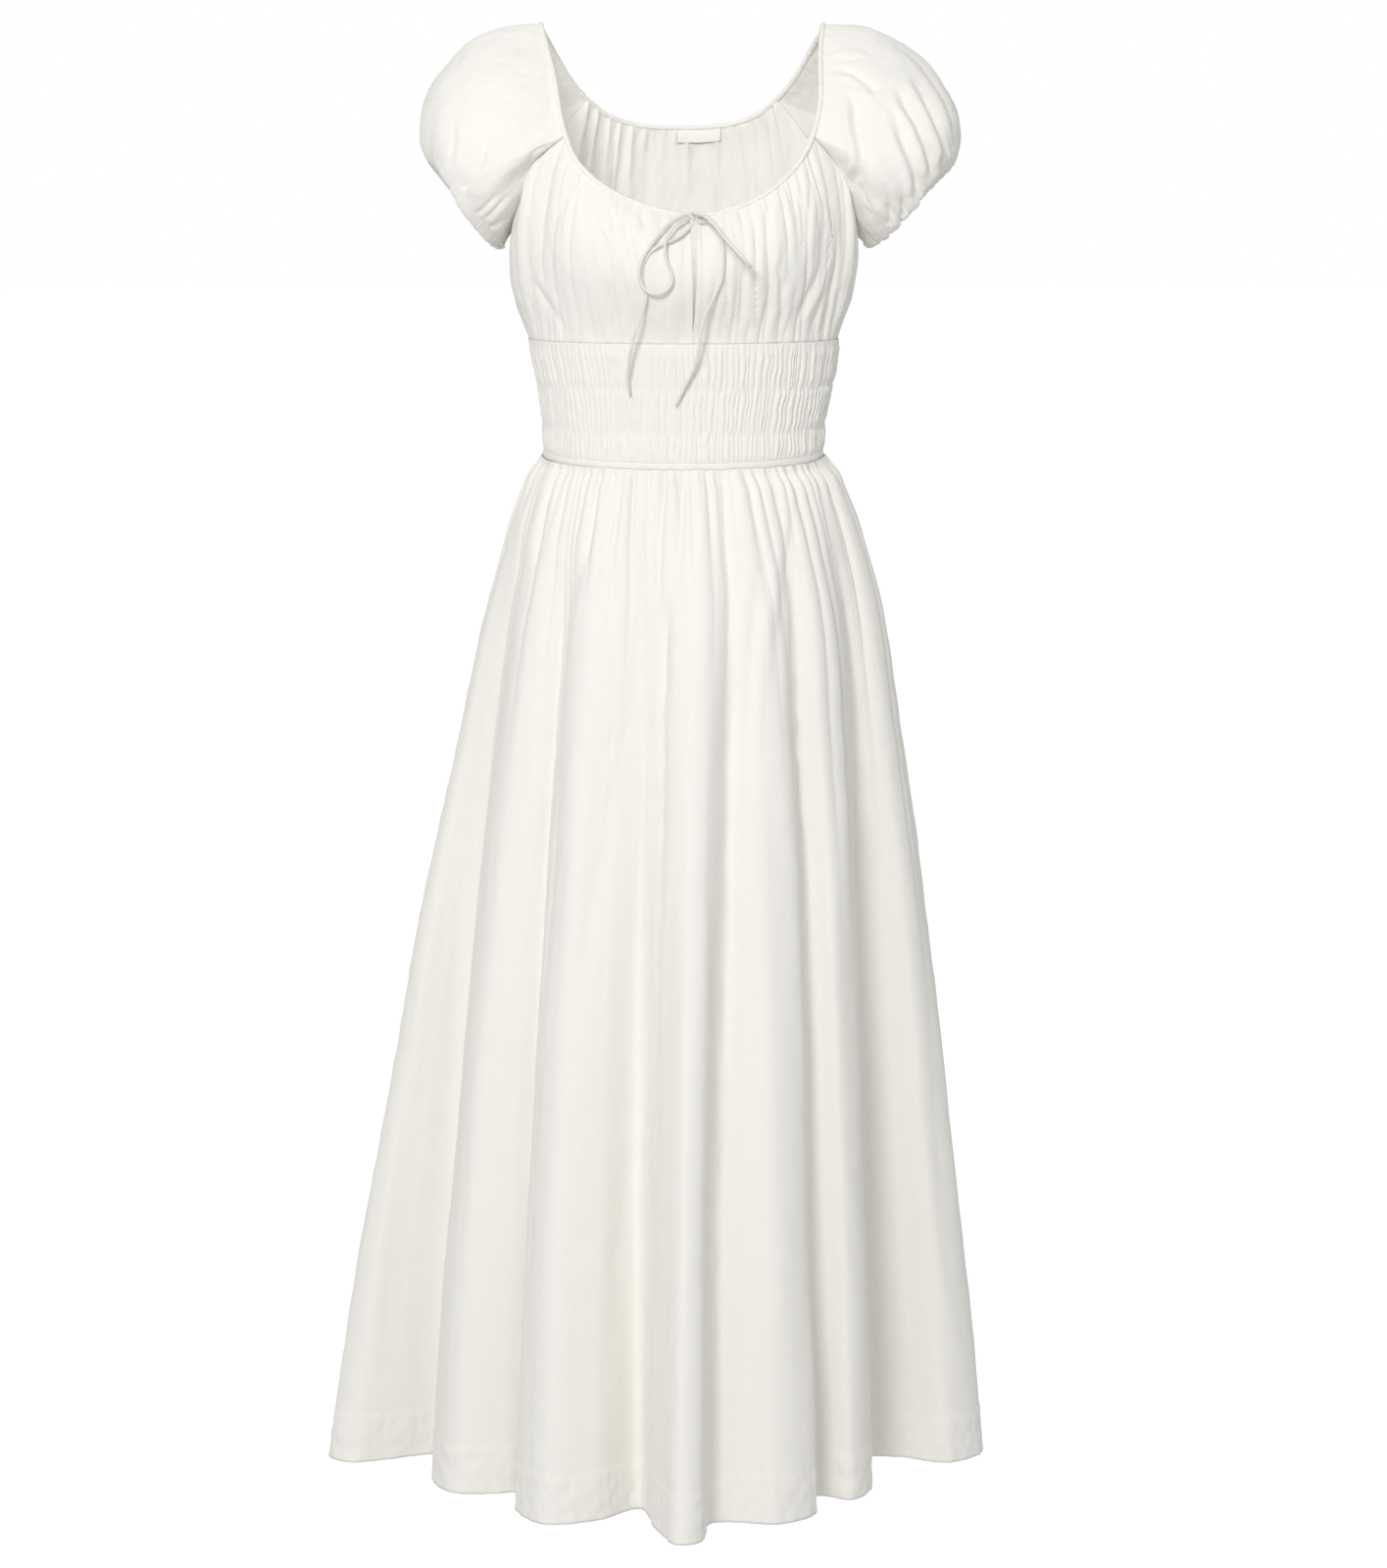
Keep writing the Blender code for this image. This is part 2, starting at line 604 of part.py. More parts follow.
class Edge:
    """A closed upper edge of cloth, built from lines of the neckline and of the raglan seams."""

    def __init__(self):
        self.points = []
        self.on_neck = []

    def add(self, points, on_neck):
        """Adds a line's points. A corner belongs to its raglan seam."""
        flags = [on_neck] * len(points)
        if self.points and np.linalg.norm(self.points[-1] - points[0]) < 2 * NECK_TRIM:
            if on_neck:
                points, flags = points[1:], flags[1:]
            else:
                self.points.pop()
                self.on_neck.pop()
        self.points.extend(points)
        self.on_neck.extend(flags)

    def close(self):
        """The points and the flags as arrays, without the last point where it repeats the first."""
        points, flags = np.array(self.points), np.array(self.on_neck)
        if np.linalg.norm(points[0] - points[-1]) < 2 * NECK_TRIM:
            points, flags = points[:-1], flags[:-1]
        return points, flags


def bodice_edge():
    """The bodice's upper edge all round, from the right underarm through the centre front."""
    edge = Edge()
    front_right, _, _, back_right = neck_parts(-1)
    front_left, _, _, back_left = neck_parts(1)
    edge.add(edge_points(raglan(-1, False)[::-1], RAGLAN_COLUMNS), False)
    edge.add(edge_points(front_right[::-1], FRONT_NECK_COLUMNS), True)
    edge.add(edge_points(front_left, FRONT_NECK_COLUMNS), True)
    edge.add(edge_points(raglan(1, False), RAGLAN_COLUMNS), False)
    edge.add(edge_points(raglan(1, True)[::-1], RAGLAN_COLUMNS), False)
    edge.add(edge_points(back_left, BACK_NECK_COLUMNS), True)
    edge.add(edge_points(back_right[::-1], BACK_NECK_COLUMNS), True)
    edge.add(edge_points(raglan(-1, True), RAGLAN_COLUMNS), False)
    return edge.close()


def sleeve_edge(side):
    """A sleeve's upper edge all round, from the shoulder point down its front and up its back."""
    edge = Edge()
    _, front, back, _ = neck_parts(side)
    edge.add(edge_points(front[::-1], SLEEVE_FRONT_COLUMNS), True)
    edge.add(edge_points(raglan(side, False), RAGLAN_COLUMNS), False)
    edge.add(edge_points(raglan(side, True)[::-1], RAGLAN_COLUMNS), False)
    edge.add(edge_points(back[::-1], SLEEVE_BACK_COLUMNS), True)
    return edge.close()


def hung(start, end, bulge, rows):
    """Rows of points from an edge to another. bulge gives the way out of the straight line for a share of it."""
    share = np.linspace(0.0, 1.0, PATH_POINTS)
    paths = np.stack([start * (1 - t) + end * t + bulge(t) for t in share])
    far = lengths(paths)
    grid = np.empty((rows, len(start), 3))
    for column in range(len(start)):
        places = np.linspace(0.0, far[-1, column], rows)
        for k in range(3):
            grid[:, column, k] = np.interp(places, far[:, column], paths[:, column, k])
    return grid


def set_back(start, on_neck, second, out):
    """The start of the cloth, moved off its seam: by the binding on the neckline, by half a gap elsewhere."""
    ahead, behind = (np.roll(start, shift, axis=0) for shift in (-1, 1))
    ends_ahead, ends_behind = (np.roll(on_neck, shift) != on_neck for shift in (-1, 1))
    ahead[ends_ahead] = start[ends_ahead]
    behind[ends_behind] = start[ends_behind]
    tangent = unit(ahead - behind)
    inward = unit(np.cross(tangent, out))
    way = second - start
    inward *= np.sign(np.sum(inward * way, axis=1))[:, None]
    return start + inward * np.where(on_neck, NECK_TRIM, HALF_GAP)[:, None]


# Bodice


def bodice_bottom():
    """The bodice's lower edge all round, under the columns of its upper edge."""
    front = waist_ring(SMOCK_TOP, 0.0, FINE)
    middle = np.argmin(np.abs(front[:, 0] - FRONT_LEAN))
    columns = FRONT_NECK_COLUMNS + RAGLAN_COLUMNS
    right = edge_points(front[: middle + 1], columns)
    left = edge_points(front[middle:], columns)
    back = waist_ring(SMOCK_TOP, 0.5, 2 * (BACK_NECK_COLUMNS + RAGLAN_COLUMNS) + 1)
    ring = np.concatenate([right[:-1], left[:-1], back[:-1]])
    ring[:, 2] += HALF_GAP
    return ring


def bodice_fullness(bottom):
    """How far each column bows out: most in front, less at the side seams and behind."""
    way = unit(bottom * FULL_WAY)
    front = np.clip(-way[:, 1], 0.0, 1.0) ** FRONT_NARROWING
    back = np.clip(way[:, 1], 0.0, 1.0)
    full = SIDE_FULLNESS + (FRONT_FULLNESS - SIDE_FULLNESS) * front + (BACK_FULLNESS - SIDE_FULLNESS) * back
    return way * full[:, None]


def bodice_grid(start, bottom):
    """The bodice's surface all round, from its upper edge down to the smocking."""
    fullness = bodice_fullness(bottom)
    return hung(
        start,
        bottom,
        lambda t: fullness * abs(math.sin(math.pi * t**FULL_HEIGHT)) ** (1 + FULL_EASE * t),
        BODICE_ROWS,
    )


def sleeve_out(side, grid):
    """Outward normals of a sleeve."""
    return -side * normals(grid, closed=True)


def shared_normals():
    """The normals of the bodice's and both sleeves' upper edges, with one common normal along raglan seams."""
    start, on_neck = bodice_edge()
    common = normals(bodice_grid(start, bodice_bottom()), closed=True)[0]
    result = {"bodice": common}
    matches = []
    for side in (-1, 1):
        points, neck = sleeve_edge(side)
        out = sleeve_out(side, sleeve_grid(side, points))[0]
        for column in np.flatnonzero(~neck):
            match = np.argmin(np.linalg.norm(start - points[column], axis=1))
            common[match] = unit(common[match] + out[column])
            matches.append((out, column, match))
        result[side] = out
    softened = unit(np.roll(common, 1, axis=0) + 2 * common + np.roll(common, -1, axis=0))
    common[~on_neck] = softened[~on_neck]
    for out, column, match in matches:
        out[column] = common[match]
    return result


def bodice(edge_normals, finish):
    """Both bodice fronts and the bodice back, gathered all the way down."""
    start, on_neck = bodice_edge()
    bottom = bodice_bottom()
    raw = bodice_grid(start, bottom)
    start = set_back(start, on_neck, raw[1], edge_normals)
    grid = bodice_grid(start, bottom)
    out = normals(grid, closed=True)
    out[0] = edge_normals
    out[-1] = unit(out[-1] * (1.0, 1.0, 0.0))
    columns = grid.shape[1]
    down = np.linspace(0.0, 1.0, BODICE_ROWS)[:, None]
    swell = EDGE_GATHERS + (1 - EDGE_GATHERS) * np.sin(math.pi * down)
    relief = BODICE_GATHER_DEPTH * swell * waves(columns)
    relief[0] *= on_neck
    grid = grid + out * relief[..., None]
    front = FRONT_NECK_COLUMNS + RAGLAN_COLUMNS
    cut_wall("bodice_back", grid, out, 2 * front, columns, finish)
    widths = SLIT_WIDTH_TOP * (1 - down[:, 0]) ** SLIT_TAPER / 2
    for name, first, last, edge, way in (
        ("bodice_front_right", 0, front, front, -1),
        ("bodice_front_left", front, 2 * front, front, 1),
    ):
        moved = grid.copy()
        moved[:, edge, 0] += way * widths
        moved[:, edge + way, 0] += way * widths * SLIT_FOLLOW
        cut_wall(name, moved, out, first, last, finish)


# Sleeves


def cuff_ring(side, angle, inset=0.0):
    """Points of a cuff at angles from its top through its front, moved up the sleeve by an inset."""
    _, _, _, (top_x, top_z), (bottom_x, bottom_z) = SLEEVES["left" if side > 0 else "right"]
    middle = np.array([(top_x + bottom_x) / 2, 0.0, (top_z + bottom_z) / 2])
    upward = np.array([(top_x - bottom_x) / 2, 0.0, (top_z - bottom_z) / 2])
    axis = unit(np.cross(CUFF_FRONT, upward))
    flat = np.cos(angle)[:, None] * upward + np.sin(angle)[:, None] * np.array(CUFF_FRONT)
    return (middle + flat + axis * inset) * (side, 1.0, 1.0)


def sleeve_angles():
    """The angle round the sleeve of each of its columns, from its top through its front."""
    front = SLEEVE_FRONT_COLUMNS + RAGLAN_COLUMNS
    back = SLEEVE_BACK_COLUMNS + RAGLAN_COLUMNS
    first = np.linspace(0.0, math.pi, front, endpoint=False)
    return np.concatenate([first, np.linspace(math.pi, 2 * math.pi, back, endpoint=False)])


def sleeve_grid(side, start):
    """A sleeve's surface all round: straight paths from its seams to its cuff, puffed out."""
    _, top_full, front_full, _, _ = SLEEVES["left" if side > 0 else "right"]
    angle = sleeve_angles()
    end = cuff_ring(side, angle, CUFF_BINDING_RADIUS + SEAM_GAP)
    over = np.clip(np.cos(angle), 0.0, 1.0)[:, None] * np.array(SLEEVE_TOP_WAY) * top_full
    beside = np.abs(np.sin(angle))[:, None] * np.array(SLEEVE_FRONT_WAY) * front_full
    beside[:, 1] *= np.sign(np.sin(angle) + 1e-9)
    push = (over + beside) * (side, 1.0, 1.0)
    lower = np.clip(1 - np.cos(angle), 0.0, 1.0)
    late, steep = 1 + PUFF_LATE * lower, PUFF_ROUNDNESS - PUFF_EASE * lower
    return hung(start, end, lambda t: push * (1 - abs(2 * t**late - 1) ** steep)[:, None], SLEEVE_ROWS)


def sleeve(name, side, edge_normals, finish):
    """A short raglan puff sleeve, gathered into its cuff."""
    start, on_neck = sleeve_edge(side)
    raw = sleeve_grid(side, start)
    grid = sleeve_grid(side, set_back(start, on_neck, raw[1], edge_normals))
    out = sleeve_out(side, grid)
    out[0] = edge_normals
    angle = sleeve_angles()
    out[-1] = unit(cuff_ring(side, angle) - cuff_ring(side, angle).mean(axis=0))
    down = np.linspace(0.0, 1.0, SLEEVE_ROWS)[:, None]
    grown = down**SLEEVE_GATHER_GROWTH * (1 - (1 - CUFF_GATHERS) * down**CUFF_FALL_OFF)
    fade = SLEEVE_TOP_GATHERS + (1 - SLEEVE_TOP_GATHERS) * grown
    under = np.clip(-np.cos(angle), 0.0, 1.0)
    relief = SLEEVE_GATHER_DEPTH * fade * waves(len(angle)) * (1 - (1 - UNDER_GATHERS) * under)
    relief[0] *= on_neck
    outer = grid + out * relief[..., None]
    return wall(name, outer, outer - out * CLOTH, finish, closed=True)


def cuff_binding(name, side, finish):
    """The elastic binding round a cuff."""
    ring = cuff_ring(side, np.linspace(0.0, 2 * math.pi, CUFF_BINDING_POINTS, endpoint=False))
    return tube(name, ring, CUFF_BINDING_RADIUS, BINDING_SIDES, finish, closed=True)


# Neck binding


def neck_binding(finish):
    """The narrow drawstring casing round the neckline, open at the slit."""
    left = np.concatenate([part[:-1] for part in neck_parts(1)] + [neck_parts(1)[-1][-1:]])
    right = np.concatenate([part[:-1] for part in neck_parts(-1)] + [neck_parts(-1)[-1][-1:]])
    line = np.concatenate([left, right[::-1][1:]])
    total = lengths(line)[-1]
    shares = np.linspace(BINDING_END / total, 1.0 - BINDING_END / total, NECK_BINDING_POINTS)
    return tube("neck_binding", at_shares(line, shares), BINDING_RADIUS, BINDING_SIDES, finish)


# Ties and label


def knot_end(way):
    """Where a strand starts on the knot when it leaves it in a direction, and the next point on its way."""
    way = unit(way)
    reach = np.linalg.norm(np.array(KNOT_SIZE) * way) + SEAM_GAP
    return [np.array(KNOT_CENTRE) + way * far for far in (reach, reach + 2 * TIE_RADIUS)]


def tie(name, points, finish):
    """A loop or a tail of the bow: one smooth line from the knot through its points."""
    first, second = KNOT_WAYS[name]
    start, beyond = knot_end(first)
    route = [start, beyond, *points]
    if second:
        route += knot_end(second)[::-1]
    line, at = spline(route)
    free = line[at[1] : at[-2] + 1 if second else None]
    count = round(lengths(free)[-1] / TIE_POINT_SPACING) + 1
    drawn = [start, *at_shares(free, np.linspace(0.0, 1.0, count))]
    if second:
        drawn.append(route[-1])
    return tube(name, drawn, TIE_RADIUS, TIE_SIDES, finish)


def knot(finish):
    """The bow's knot as a rounded solid."""
    bm = bmesh.new()
    bmesh.ops.create_uvsphere(bm, u_segments=KNOT_SEGMENTS, v_segments=KNOT_RINGS, radius=1.0)
    for vertex in bm.verts:
        vertex.co = np.array(vertex.co) * KNOT_SIZE + KNOT_CENTRE
    mesh = bpy.data.meshes.new("tie_knot")
    bm.to_mesh(mesh)
    bm.free()
    mesh.shade_smooth()
    mesh.materials.append(finish)
    made = bpy.data.objects.new("tie_knot", mesh)
    bpy.context.scene.collection.objects.link(made)
    return made


def neck_label(finish):
    """The label that hangs from the back neck binding, inside the dress."""
    behind = np.concatenate([neck_parts(-1)[3], neck_parts(1)[3][::-1][1:]])
    x = LABEL_CENTRE_X + np.linspace(-0.5, 0.5, LABEL_COLUMNS) * LABEL_WIDTH
    y, z = (np.interp(x, behind[:, 0], behind[:, k]) for k in (1, 2))
    sheets = []
    for depth in (0.0, LABEL_THICK):
        back = y - CLOTH - SEAM_GAP - depth
        upper = np.stack([x, back, z - LABEL_TOP], axis=1)
        lower = np.stack([x, back + LABEL_TILT, z - LABEL_TOP - LABEL_HEIGHT], axis=1)
        sheets.append([upper, lower])
    return wall("neck_label", *sheets, finish)


def build():
    """Every piece of the dress."""
    for old in list(bpy.data.objects):
        bpy.data.objects.remove(old)
    cloth = material("cotton_cloth", CLOTH_COLOUR, CLOTH_ROUGHNESS)
    trim = material("binding_cloth", TRIM_COLOUR, TRIM_ROUGHNESS)
    skirt(cloth)
    smocked_panel("smocked_waist_front", 0.0, cloth)
    smocked_panel("smocked_waist_back", 0.5, cloth)
    waist_band(trim)
    edge_normals = shared_normals()
    bodice(edge_normals["bodice"], cloth)
    for hand, (side, *_) in SLEEVES.items():
        sleeve(f"sleeve_{hand}", side, edge_normals[side], cloth)
        cuff_binding(f"cuff_binding_{hand}", side, trim)
    neck_binding(trim)
    knot(trim)
    for name, points in {**LOOPS, **TAILS}.items():
        tie(name, points, trim)
    neck_label(material("label_cloth", LABEL_COLOUR, LABEL_ROUGHNESS))


build()
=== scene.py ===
"""The looks of the smocked midi dress: cotton shells with gathers and creases, bindings, a bow and stitching.

Metres, +Z up. The front faces -Y and the wearer's left is +X. Every shell follows the form of the solid that
it replaces, so the tables of sizes here are the ones that the solids are built from.
"""

import json
import logging
import math
from dataclasses import dataclass, field, replace
from enum import Enum

import bpy
import numpy as np
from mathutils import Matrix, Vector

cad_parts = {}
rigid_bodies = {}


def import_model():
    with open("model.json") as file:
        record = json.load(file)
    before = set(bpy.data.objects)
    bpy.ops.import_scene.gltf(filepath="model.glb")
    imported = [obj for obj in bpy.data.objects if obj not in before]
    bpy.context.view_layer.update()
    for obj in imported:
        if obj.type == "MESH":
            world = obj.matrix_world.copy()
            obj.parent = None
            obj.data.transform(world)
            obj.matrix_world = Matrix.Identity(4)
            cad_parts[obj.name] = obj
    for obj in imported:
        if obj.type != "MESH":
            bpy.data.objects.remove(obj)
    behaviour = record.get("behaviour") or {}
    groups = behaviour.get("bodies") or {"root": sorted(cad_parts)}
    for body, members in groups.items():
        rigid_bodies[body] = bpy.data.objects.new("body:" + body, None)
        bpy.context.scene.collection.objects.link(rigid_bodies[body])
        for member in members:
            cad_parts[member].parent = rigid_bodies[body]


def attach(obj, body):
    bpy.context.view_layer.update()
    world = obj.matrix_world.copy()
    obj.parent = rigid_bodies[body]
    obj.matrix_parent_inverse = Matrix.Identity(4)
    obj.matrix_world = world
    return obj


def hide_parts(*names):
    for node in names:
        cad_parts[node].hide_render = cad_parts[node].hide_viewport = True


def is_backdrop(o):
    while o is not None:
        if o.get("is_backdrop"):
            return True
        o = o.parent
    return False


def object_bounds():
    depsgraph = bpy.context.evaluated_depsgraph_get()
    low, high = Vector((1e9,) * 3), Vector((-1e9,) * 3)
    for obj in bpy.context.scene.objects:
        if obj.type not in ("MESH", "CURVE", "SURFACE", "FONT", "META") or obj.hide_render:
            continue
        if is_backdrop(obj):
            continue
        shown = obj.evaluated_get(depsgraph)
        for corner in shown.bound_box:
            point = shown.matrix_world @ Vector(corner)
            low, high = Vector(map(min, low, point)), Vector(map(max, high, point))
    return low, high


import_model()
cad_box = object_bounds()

Array = np.ndarray
LOG = logging.getLogger("dress")
MM = 0.001

# The body under the dress
ROUNDNESS = 2.2  # exponent of a body section: 2 is an ellipse, more is squarer
WAIST_SAG = 0.0070  # how much lower the waist seam hangs at the centre front
SAG_DROPS = (0.250, 0.361, 0.620)  # where that starts, where it is whole and where it ends
SAG_DEPTH = 0.0900  # how far in front of the side seams it is whole
WAIST_SECTIONS = [
    # drop, half width, centre x, front depth, back depth
    (0.262, 0.1310, 0.001, 0.0990, 0.0960),
    (0.296, 0.1250, 0.002, 0.0935, 0.0905),
    (0.333, 0.1190, 0.001, 0.0890, 0.0870),
    (0.361, 0.1185, 0.001, 0.0880, 0.0870),
]
SKIRT_SECTIONS = [
    # drop, half width, centre x, front depth, back depth
    (0.361, 0.1190, 0.001, 0.0885, 0.0875),
    (0.374, 0.1285, 0.002, 0.0980, 0.0985),
    (0.391, 0.1345, 0.002, 0.1070, 0.1090),
    (0.425, 0.1465, 0.002, 0.1210, 0.1260),
    (0.458, 0.1560, 0.003, 0.1330, 0.1400),
    (0.508, 0.1690, 0.002, 0.1480, 0.1550),
    (0.559, 0.1800, 0.000, 0.1600, 0.1660),
    (0.644, 0.1970, -0.003, 0.1770, 0.1810),
    (0.814, 0.2275, -0.009, 0.2040, 0.2050),
    (0.987, 0.2535, -0.015, 0.2250, 0.2240),
    (1.161, 0.2780, -0.020, 0.2400, 0.2390),
    (1.240, 0.2860, -0.022, 0.2460, 0.2450),
]
SKIRT_TOP = 0.3608
HEM = 1.240
HEM_FOLDS = [
    # near edge x, y, crest x, y, far edge x, y, valley x, y
    (-0.3090, 0.0140, -0.2880, -0.0080, -0.2540, 0.0040, -0.2080, 0.0200),
    (-0.2150, -0.0600, -0.1950, -0.1020, -0.1500, -0.1020, -0.1260, -0.0920),
    (-0.1400, -0.1500, -0.1150, -0.1960, -0.0720, -0.1850, -0.0360, -0.1500),
    (-0.0220, -0.2060, -0.0030, -0.2560, 0.0150, -0.2480, 0.0240, -0.1930),
    (0.0480, -0.1900, 0.0780, -0.1960, 0.1120, -0.1680, 0.1080, -0.1160),
    (0.1200, -0.1120, 0.1430, -0.1240, 0.1620, -0.0900, 0.1540, 0.0080),
    (0.1900, 0.0100, 0.2300, -0.0080, 0.2600, 0.0180, 0.2620, 0.0600),
    (0.2450, 0.1000, 0.2180, 0.1330, 0.1760, 0.1280, 0.1560, 0.1180),
    (0.1660, 0.1650, 0.1480, 0.2030, 0.1180, 0.1990, 0.1000, 0.1600),
    (0.0890, 0.2000, 0.0660, 0.2340, 0.0380, 0.2180, 0.0220, 0.1840),
    (0.0050, 0.2100, -0.0180, 0.2440, -0.0440, 0.2240, -0.0500, 0.1880),
    (-0.0680, 0.2060, -0.0960, 0.2330, -0.1240, 0.2080, -0.1230, 0.1650),
    (-0.1460, 0.1700, -0.1780, 0.1880, -0.2030, 0.1560, -0.1950, 0.1150),
    (-0.2230, 0.1120, -0.2560, 0.1120, -0.2760, 0.0850, -0.2720, 0.0480),
]
SIDE_SEAM_FOLDS = (0, 7)
FOLD_GROWTH = 0.62
SKIRT_GATHER_DEPTHS = [
    # drop, depth from crest to valley
    (0.361, 0.0022),
    (0.386, 0.0052),
    (0.450, 0.0060),
    (0.590, 0.0030),
    (0.870, 0.0000),
    (1.240, 0.0000),
]

# The neckline and the raglan seams. Their left side is x + lean and their right side is x - lean.
NECK_POINTS = [
    # x, y, z, lean to the wearer's left
    (0.0000, -0.1000, -0.1566, 0.0093),
    (0.0260, -0.0990, -0.1530, 0.0100),
    (0.0530, -0.0960, -0.1435, 0.0085),
    (0.0750, -0.0905, -0.1300, 0.0062),
    (0.0924, -0.0830, -0.1120, 0.0055),
    (0.1023, -0.0735, -0.0915, 0.0060),
    (0.1080, -0.0610, -0.0684, 0.0062),
    (0.1110, -0.0430, -0.0419, 0.0044),
    (0.1139, -0.0250, -0.0215, 0.0017),
    (0.1172, -0.0080, -0.0045, 0.0004),
    (0.1185, 0.0000, 0.0000, 0.0000),
    (0.1168, 0.0080, -0.0060, 0.0000),
    (0.1081, 0.0300, -0.0223, 0.0000),
    (0.0955, 0.0480, -0.0445, 0.0000),
    (0.0810, 0.0620, -0.0620, 0.0000),
    (0.0633, 0.0740, -0.0760, 0.0000),
    (0.0430, 0.0835, -0.0832, 0.0000),
    (0.0200, 0.0880, -0.0860, 0.0000),
    (0.0000, 0.0890, -0.0864, 0.0000),
]
FRONT_NECK_ROW, SHOULDER_ROW, BACK_NECK_ROW = 5, 10, 14
FRONT_LEAN = NECK_POINTS[0][3]
FRONT_RAGLAN = [
    # x, y, z, lean to the wearer's left
    (0.1265, -0.0640, -0.1155, 0.0020),
    (0.1360, -0.0585, -0.1380, 0.0040),
    (0.1420, -0.0385, -0.1600, 0.0020),
]
BACK_RAGLAN = [
    # x, y, z, lean to the wearer's left
    (0.1000, 0.0660, -0.0850, 0.0000),
    (0.1210, 0.0600, -0.1180, 0.0000),
    (0.1365, 0.0370, -0.1530, 0.0000),
]
UNDERARM = (0.1430, 0.0000, -0.1720, 0.0000)
BINDING_RADIUS = 0.0021
SMOCKING_TOP = 0.262  # drop of the seam between the bodice and the smocking
CLOTH_WALL = 0.0006
PINCH = 1.35  # how sharp the bottom of a trough is: 2 is round, 1 is a sharp crease
FINE = 481  # points on half of a body section before it is spaced evenly
FINE_EDGE = 1401  # and on the bodice's lower edge
HANG_POINTS = 97  # on a column before it is spaced evenly
RIPPLE_WAVES = 18
RIPPLE_CALM = 4.5  # brings their sum to about 1
GATHER_OPENING = 0.9  # how much wider a trough is at its far end
GATHER_FADE = 1.2
CREASE_REACH = 3.2  # how far a crease is felt, in widths
CREASE_FACING = 2.5  # how soon it fades where the cloth turns away
CREASE_FADE = 0.8
FLANK_PLACE, FLANK_WIDTH = 1.9, 1.3  # of the ridge beside a crease, in widths


class Side(Enum):
    """A side of the wearer's body, with the sign of its x."""

    RIGHT = -1
    LEFT = 1

    @property
    def word(self) -> str:
        """The side as a part of a name."""
        return self.name.lower()


class Face(Enum):
    """Where a crease is seen from: the axis that the cloth faces along, and its sign."""

    FRONT = (1, -1.0)
    BACK = (1, 1.0)
    RIGHT = (0, -1.0)
    LEFT = (0, 1.0)

    @property
    def across(self) -> int:
        """The axis that runs across this view."""
        return 1 - self.value[0]


# Lines, rings and surfaces


def unit(vectors: Array) -> Array:
    """Vectors of length 1."""
    vectors = np.asarray(vectors, float)
    return vectors / np.maximum(np.linalg.norm(vectors, axis=-1, keepdims=True), 1e-12)


def read_rows(table: list, places: Array | float) -> Array:
    """Reads a table smoothly between its rows.

    Args:
        table: Rows of numbers, the first of which is the place.
        places: Where to read it.

    Returns:
        A row of the other columns for each place.
    """
    rows = np.asarray(table, float)
    x, y = rows[:, 0], rows[:, 1:]
    places = np.clip(np.atleast_1d(np.asarray(places, float)), x[0], x[-1])
    slope = np.gradient(y, x, axis=0)
    i = np.clip(np.searchsorted(x, places) - 1, 0, len(x) - 2)
    step = (x[i + 1] - x[i])[:, None]
    t = (places - x[i])[:, None] / step
    start = (2 * t**3 - 3 * t**2 + 1) * y[i] + (t**3 - 2 * t**2 + t) * step * slope[i]
    end = (3 * t**2 - 2 * t**3) * y[i + 1] + (t**3 - t**2) * step * slope[i + 1]
    return start + end


def spline(points: Array, closed: bool = False, per_span: int = 24) -> tuple[Array, Array]:
    """Draws a smooth line through points, as a centripetal Catmull-Rom curve.

    Args:
        points: The points, in two or three dimensions.
        closed: Whether the line comes back to its start.
        per_span: How many points it has between two given ones.

    Returns:
        The line's points, and the index on it of each given point.
    """
    points = np.asarray(points, float)
    if closed:
        padded = np.concatenate([points[-1:], points, points[:2]])
    else:
        padded = np.concatenate([2 * points[:1] - points[1:2], points, 2 * points[-1:] - points[-2:-1]])
    knots = np.sqrt(np.maximum(np.linalg.norm(np.diff(padded, axis=0), axis=1), 1e-9))
    line = []
    for k in range(len(padded) - 3):
        p0, p1, p2, p3 = padded[k : k + 4]
        t1 = knots[k]
        t2 = t1 + knots[k + 1]
        t3 = t2 + knots[k + 2]
        t = np.linspace(t1, t2, per_span, endpoint=False)[:, None]
        a1 = (t1 - t) / t1 * p0 + t / t1 * p1
        a2 = (t2 - t) / (t2 - t1) * p1 + (t - t1) / (t2 - t1) * p2
        a3 = (t3 - t) / (t3 - t2) * p2 + (t - t2) / (t3 - t2) * p3
        b1 = (t2 - t) / t2 * a1 + t / t2 * a2
        b2 = (t3 - t) / (t3 - t1) * a2 + (t - t1) / (t3 - t1) * a3
        line.append((t2 - t) / (t2 - t1) * b1 + (t - t1) / (t2 - t1) * b2)
    last = points[:1] if closed else points[-1:]
    return np.concatenate([*line, last]), np.arange(len(points) + closed) * per_span


def lengths(line: Array) -> Array:
    """How far along a line each of its points is."""
    steps = np.linalg.norm(np.diff(line, axis=0), axis=-1)
    return np.concatenate([np.zeros((1, *steps.shape[1:])), np.cumsum(steps, axis=0)])


def at_shares(line: Array, shares: Array) -> Array:
    """Points of a line at shares of its length, from 0 to 1."""
    far = lengths(line)
    places = np.asarray(shares, float) * far[-1]
    return np.stack([np.interp(places, far, line[:, k]) for k in range(line.shape[1])], axis=1)


